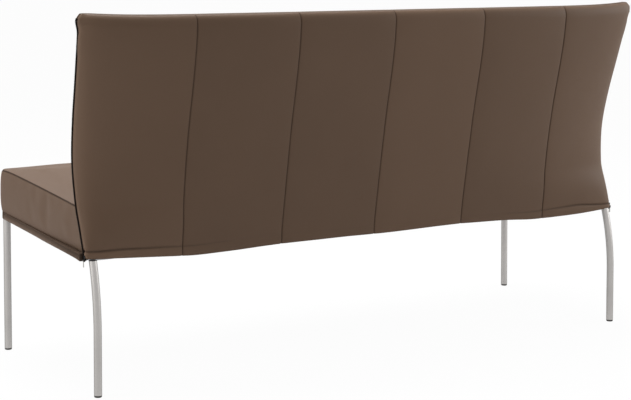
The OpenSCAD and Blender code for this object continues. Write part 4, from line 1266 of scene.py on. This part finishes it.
def makeStitches():
    normals = rearNormals(coverSurface)
    middleRow = coverSurface[len(coverSurface) // 2, :, 0]
    raised = coverSurface + normals * 0.25
    seamLines = [raised[1:, int(np.argmin(abs(middleRow - s)))] for s in seams]
    above = coverSurface[:, :, 2] - hemAt(coverSurface[:, :, 0])
    raised = coverSurface + normals * 0.3
    hemLine = []
    for i, wanted in enumerate(hemCreaseAt(coverSurface[0, :, 0])):
        hemLine.append([np.interp(wanted, above[:, i], raised[:, i, k]) for k in range(3)])
    hemLine = np.array(hemLine)
    reach = endX(340) - 9
    hemEnds = [hemLine[(side * hemLine[:, 0] > 420) & (side * hemLine[:, 0] < reach)] for side in (-1, 1)]
    repeatAlong("coverStitches", seamLines + hemEnds, stitchTree, stitchInputs,
                stitchLook | {"Seed": 3}, threadFinish)
    order = np.argsort(np.arctan2(seatSeam[:, 1] - 200, seatSeam[:, 0]))
    line = seatSeam[order]
    sideways = np.sign(line[:, 0]) * (abs(line[:, 0]) > 770)
    forwards = -1.0 * (line[:, 1] < -300)
    outward = np.stack([sideways, forwards, 0 * sideways], -1)
    repeatAlong("seatStitches", [line + outward * 0.4], stitchTree, stitchInputs,
                stitchLook | {"Seed": 5}, threadFinish)


makeStitches()


zipFoldLook = {
    "low": (313.5, 319.5), "high": 328.5, "front": 198.5, "rear": 213, "inner": 785.5, "outer": 790.2,
    "rings": 9, "around": 16, "squareness": 0.6,
}


def zipFold(side):
    # The tape's end, folded up over itself below the slider: a soft flat lump
    look = zipFoldLook
    low = look["low"][side > 0]
    centre = np.array([look["inner"] + look["outer"], look["front"] + look["rear"], low + look["high"]]) / 2
    half = np.array([look["outer"] - look["inner"], look["rear"] - look["front"], look["high"] - low]) / 2
    rings, around = look["rings"], look["around"]
    points = []
    for a in np.radians(np.linspace(-90, 90, rings)):
        for b in np.radians(np.linspace(0, 360, around, endpoint=False)):
            d = np.array([math.cos(a) * math.cos(b), math.cos(a) * math.sin(b), math.sin(a)])
            points.append(centre + half * np.sign(d) * abs(d) ** look["squareness"])
    faces = gridFaces(rings, around, wrap=True)
    return np.array(points) * np.array([side, 1, 1]), faces


# A zip's cross-section, as outwards and backwards from its line, and its teeth
zipLook = {
    "section": ((-0.7, 3.4), (-0.1, 2.4), (0.3, 0), (0.4, -2.2), (0.1, -4.0), (-1.7, -3.9), (-2.3, 3.2)),
    "teeth": {
        "Pitch": 0.0016, "Length": 0.0010, "Width": 0.0028, "Height": 0.0014, "Stagger": 0.00045, "Seed": 2,
    },
}


def makeZips():
    low = np.linspace(sofa["hem"] + 10.5, topEdge - 26, 60)
    zs = np.concatenate([low, np.linspace(topEdge - 24, topEdge - 11, 4)])
    height = np.where(zs > topEdge - 70, zs + sofa["topDip"] * ease(topEdge - 70, topEdge - 26, zs), zs)
    for side, name, nodeName in ((1, "leftZip", "left_zip"), (-1, "rightZip", "right_zip")):
        x, y = endX(height) + earPush(height), endY(height)
        loops = []
        for px, py, pz in zip(x, y, height):
            loops.append([(side * (px + a), py + b, pz) for a, b in zipLook["section"]])
        stack = np.array(loops)
        m, n = stack.shape[:2]
        foldPoints, foldFaces = zipFold(side)
        faces = tubeFaces(m, n) + [[i + m * n for i in face] for face in foldFaces]
        tape = makePiece(name + "Tape", np.vstack([stack.reshape(-1, 3), foldPoints]), faces, zipTape)
        mergeDoubles(tape)
        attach(tape, "sofa")
        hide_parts(nodeName)
        line = np.stack([side * (x + 0.5), y + 0.2, height], -1)
        repeatAlong(name + "Teeth", [line], toothTree, toothInputs,
                    zipLook["teeth"], zipPlastic, False)


makeZips()


# Floor, light and camera
stageLook = {"floor": (0.86, 0.86, 0.86), "shadow": 0.035, "world": 0.365}


def seenDirectly(tree):
    # 1 for rays from the camera, from gloss and through glass, which all see the pale background
    rays = node(tree, "ShaderNodeLightPath")
    total = rays.outputs["Is Camera Ray"]
    for kind in ("Is Glossy Ray", "Is Transmission Ray"):
        joined = node(tree, "ShaderNodeMath", operation="MAXIMUM")
        tree.links.new(total, joined.inputs[0])
        tree.links.new(rays.outputs[kind], joined.inputs[1])
        total = joined.outputs[0]
    return total


def makeFloor():
    mesh = bpy.data.meshes.new("floor")
    work = bmesh.new()
    bmesh.ops.create_grid(work, x_segments=1, y_segments=1, size=30)
    work.to_mesh(mesh)
    work.free()
    floor = bpy.data.objects.new("floor", mesh)
    bpy.context.scene.collection.objects.link(floor)
    material, tree = newMaterial("paleFloor")
    matt = node(tree, "ShaderNodeBsdfDiffuse", {"Color": (*stageLook["floor"], 1)})
    white = node(tree, "ShaderNodeEmission", {"Color": (1, 1, 1, 1), "Strength": 1.0})
    part = node(tree, "ShaderNodeMath", operation="MULTIPLY")
    part.inputs[1].default_value = 1 - stageLook["shadow"]
    tree.links.new(seenDirectly(tree), part.inputs[0])
    joined = node(tree, "ShaderNodeMixShader")
    tree.links.new(part.outputs[0], joined.inputs["Fac"])
    tree.links.new(matt.outputs[0], joined.inputs[1])
    tree.links.new(white.outputs[0], joined.inputs[2])
    out = node(tree, "ShaderNodeOutputMaterial")
    tree.links.new(joined.outputs[0], out.inputs["Surface"])
    mesh.materials.append(material)


def makeWorld():
    world = bpy.data.worlds.new("studio")
    bpy.context.scene.world = world
    world.use_nodes = True
    tree = world.node_tree
    tree.nodes.clear()
    plain = node(tree, "ShaderNodeBackground", {"Color": (1, 1, 1, 1), "Strength": stageLook["world"]})
    pale = node(tree, "ShaderNodeBackground", {"Color": (1, 1, 1, 1), "Strength": 1.0})
    joined = node(tree, "ShaderNodeMixShader")
    tree.links.new(seenDirectly(tree), joined.inputs["Fac"])
    tree.links.new(plain.outputs[0], joined.inputs[1])
    tree.links.new(pale.outputs[0], joined.inputs[2])
    out = node(tree, "ShaderNodeOutputWorld")
    tree.links.new(joined.outputs[0], out.inputs["Surface"])


lampLook = {
    "left": {"at": (3.8, -0.4, 1.8), "aim": (0.6, 0.0, 0.4), "size": 2.4, "power": 54},
    "right": {"at": (-3.8, 1.2, 1.8), "aim": (-0.6, 0.1, 0.6), "size": 2.4, "power": 76},
    "top": {"at": (0.2, -0.9, 3.6), "aim": (0, -0.1, 0.4), "size": 3.0, "power": 140},
}


def makeLamps():
    for name, look in lampLook.items():
        lamp = bpy.data.lights.new(name + "Lamp", "AREA")
        lamp.energy, lamp.size, lamp.shape = look["power"], look["size"], "DISK"
        holder = bpy.data.objects.new(name + "Lamp", lamp)
        bpy.context.scene.collection.objects.link(holder)
        holder.location = look["at"]
        towards = Vector(look["aim"]) - Vector(look["at"])
        holder.rotation_euler = towards.to_track_quat("-Z", "Y").to_euler()


# The camera, with its focal length and centre in pixels of a frame of 631 by 400
cameraLook = {
    "at": (2.1608, 3.6678, 1.0442), "down": 5.37, "turn": 29.96, "focal": 1596.18, "centre": (315.5, 99.96),
    "frame": (631, 400), "sensor": 36,
}


def makeCamera():
    look = cameraLook
    width, height = look["frame"]
    camera = bpy.data.cameras.new("camera")
    camera.sensor_fit, camera.sensor_width = "HORIZONTAL", look["sensor"]
    camera.lens = look["focal"] * look["sensor"] / width
    camera.shift_x = (width / 2 - look["centre"][0]) / width
    camera.shift_y = (look["centre"][1] - height / 2) / width
    holder = bpy.data.objects.new("camera", camera)
    bpy.context.scene.collection.objects.link(holder)
    holder.location = look["at"]
    holder.rotation_euler = (math.radians(90 - look["down"]), 0, math.radians(180 - look["turn"]))
    bpy.context.scene.camera = holder


makeFloor()
makeWorld()
makeLamps()
makeCamera()
bpy.context.scene.view_settings.view_transform = "Standard"
print("stage, lamps and camera ready")
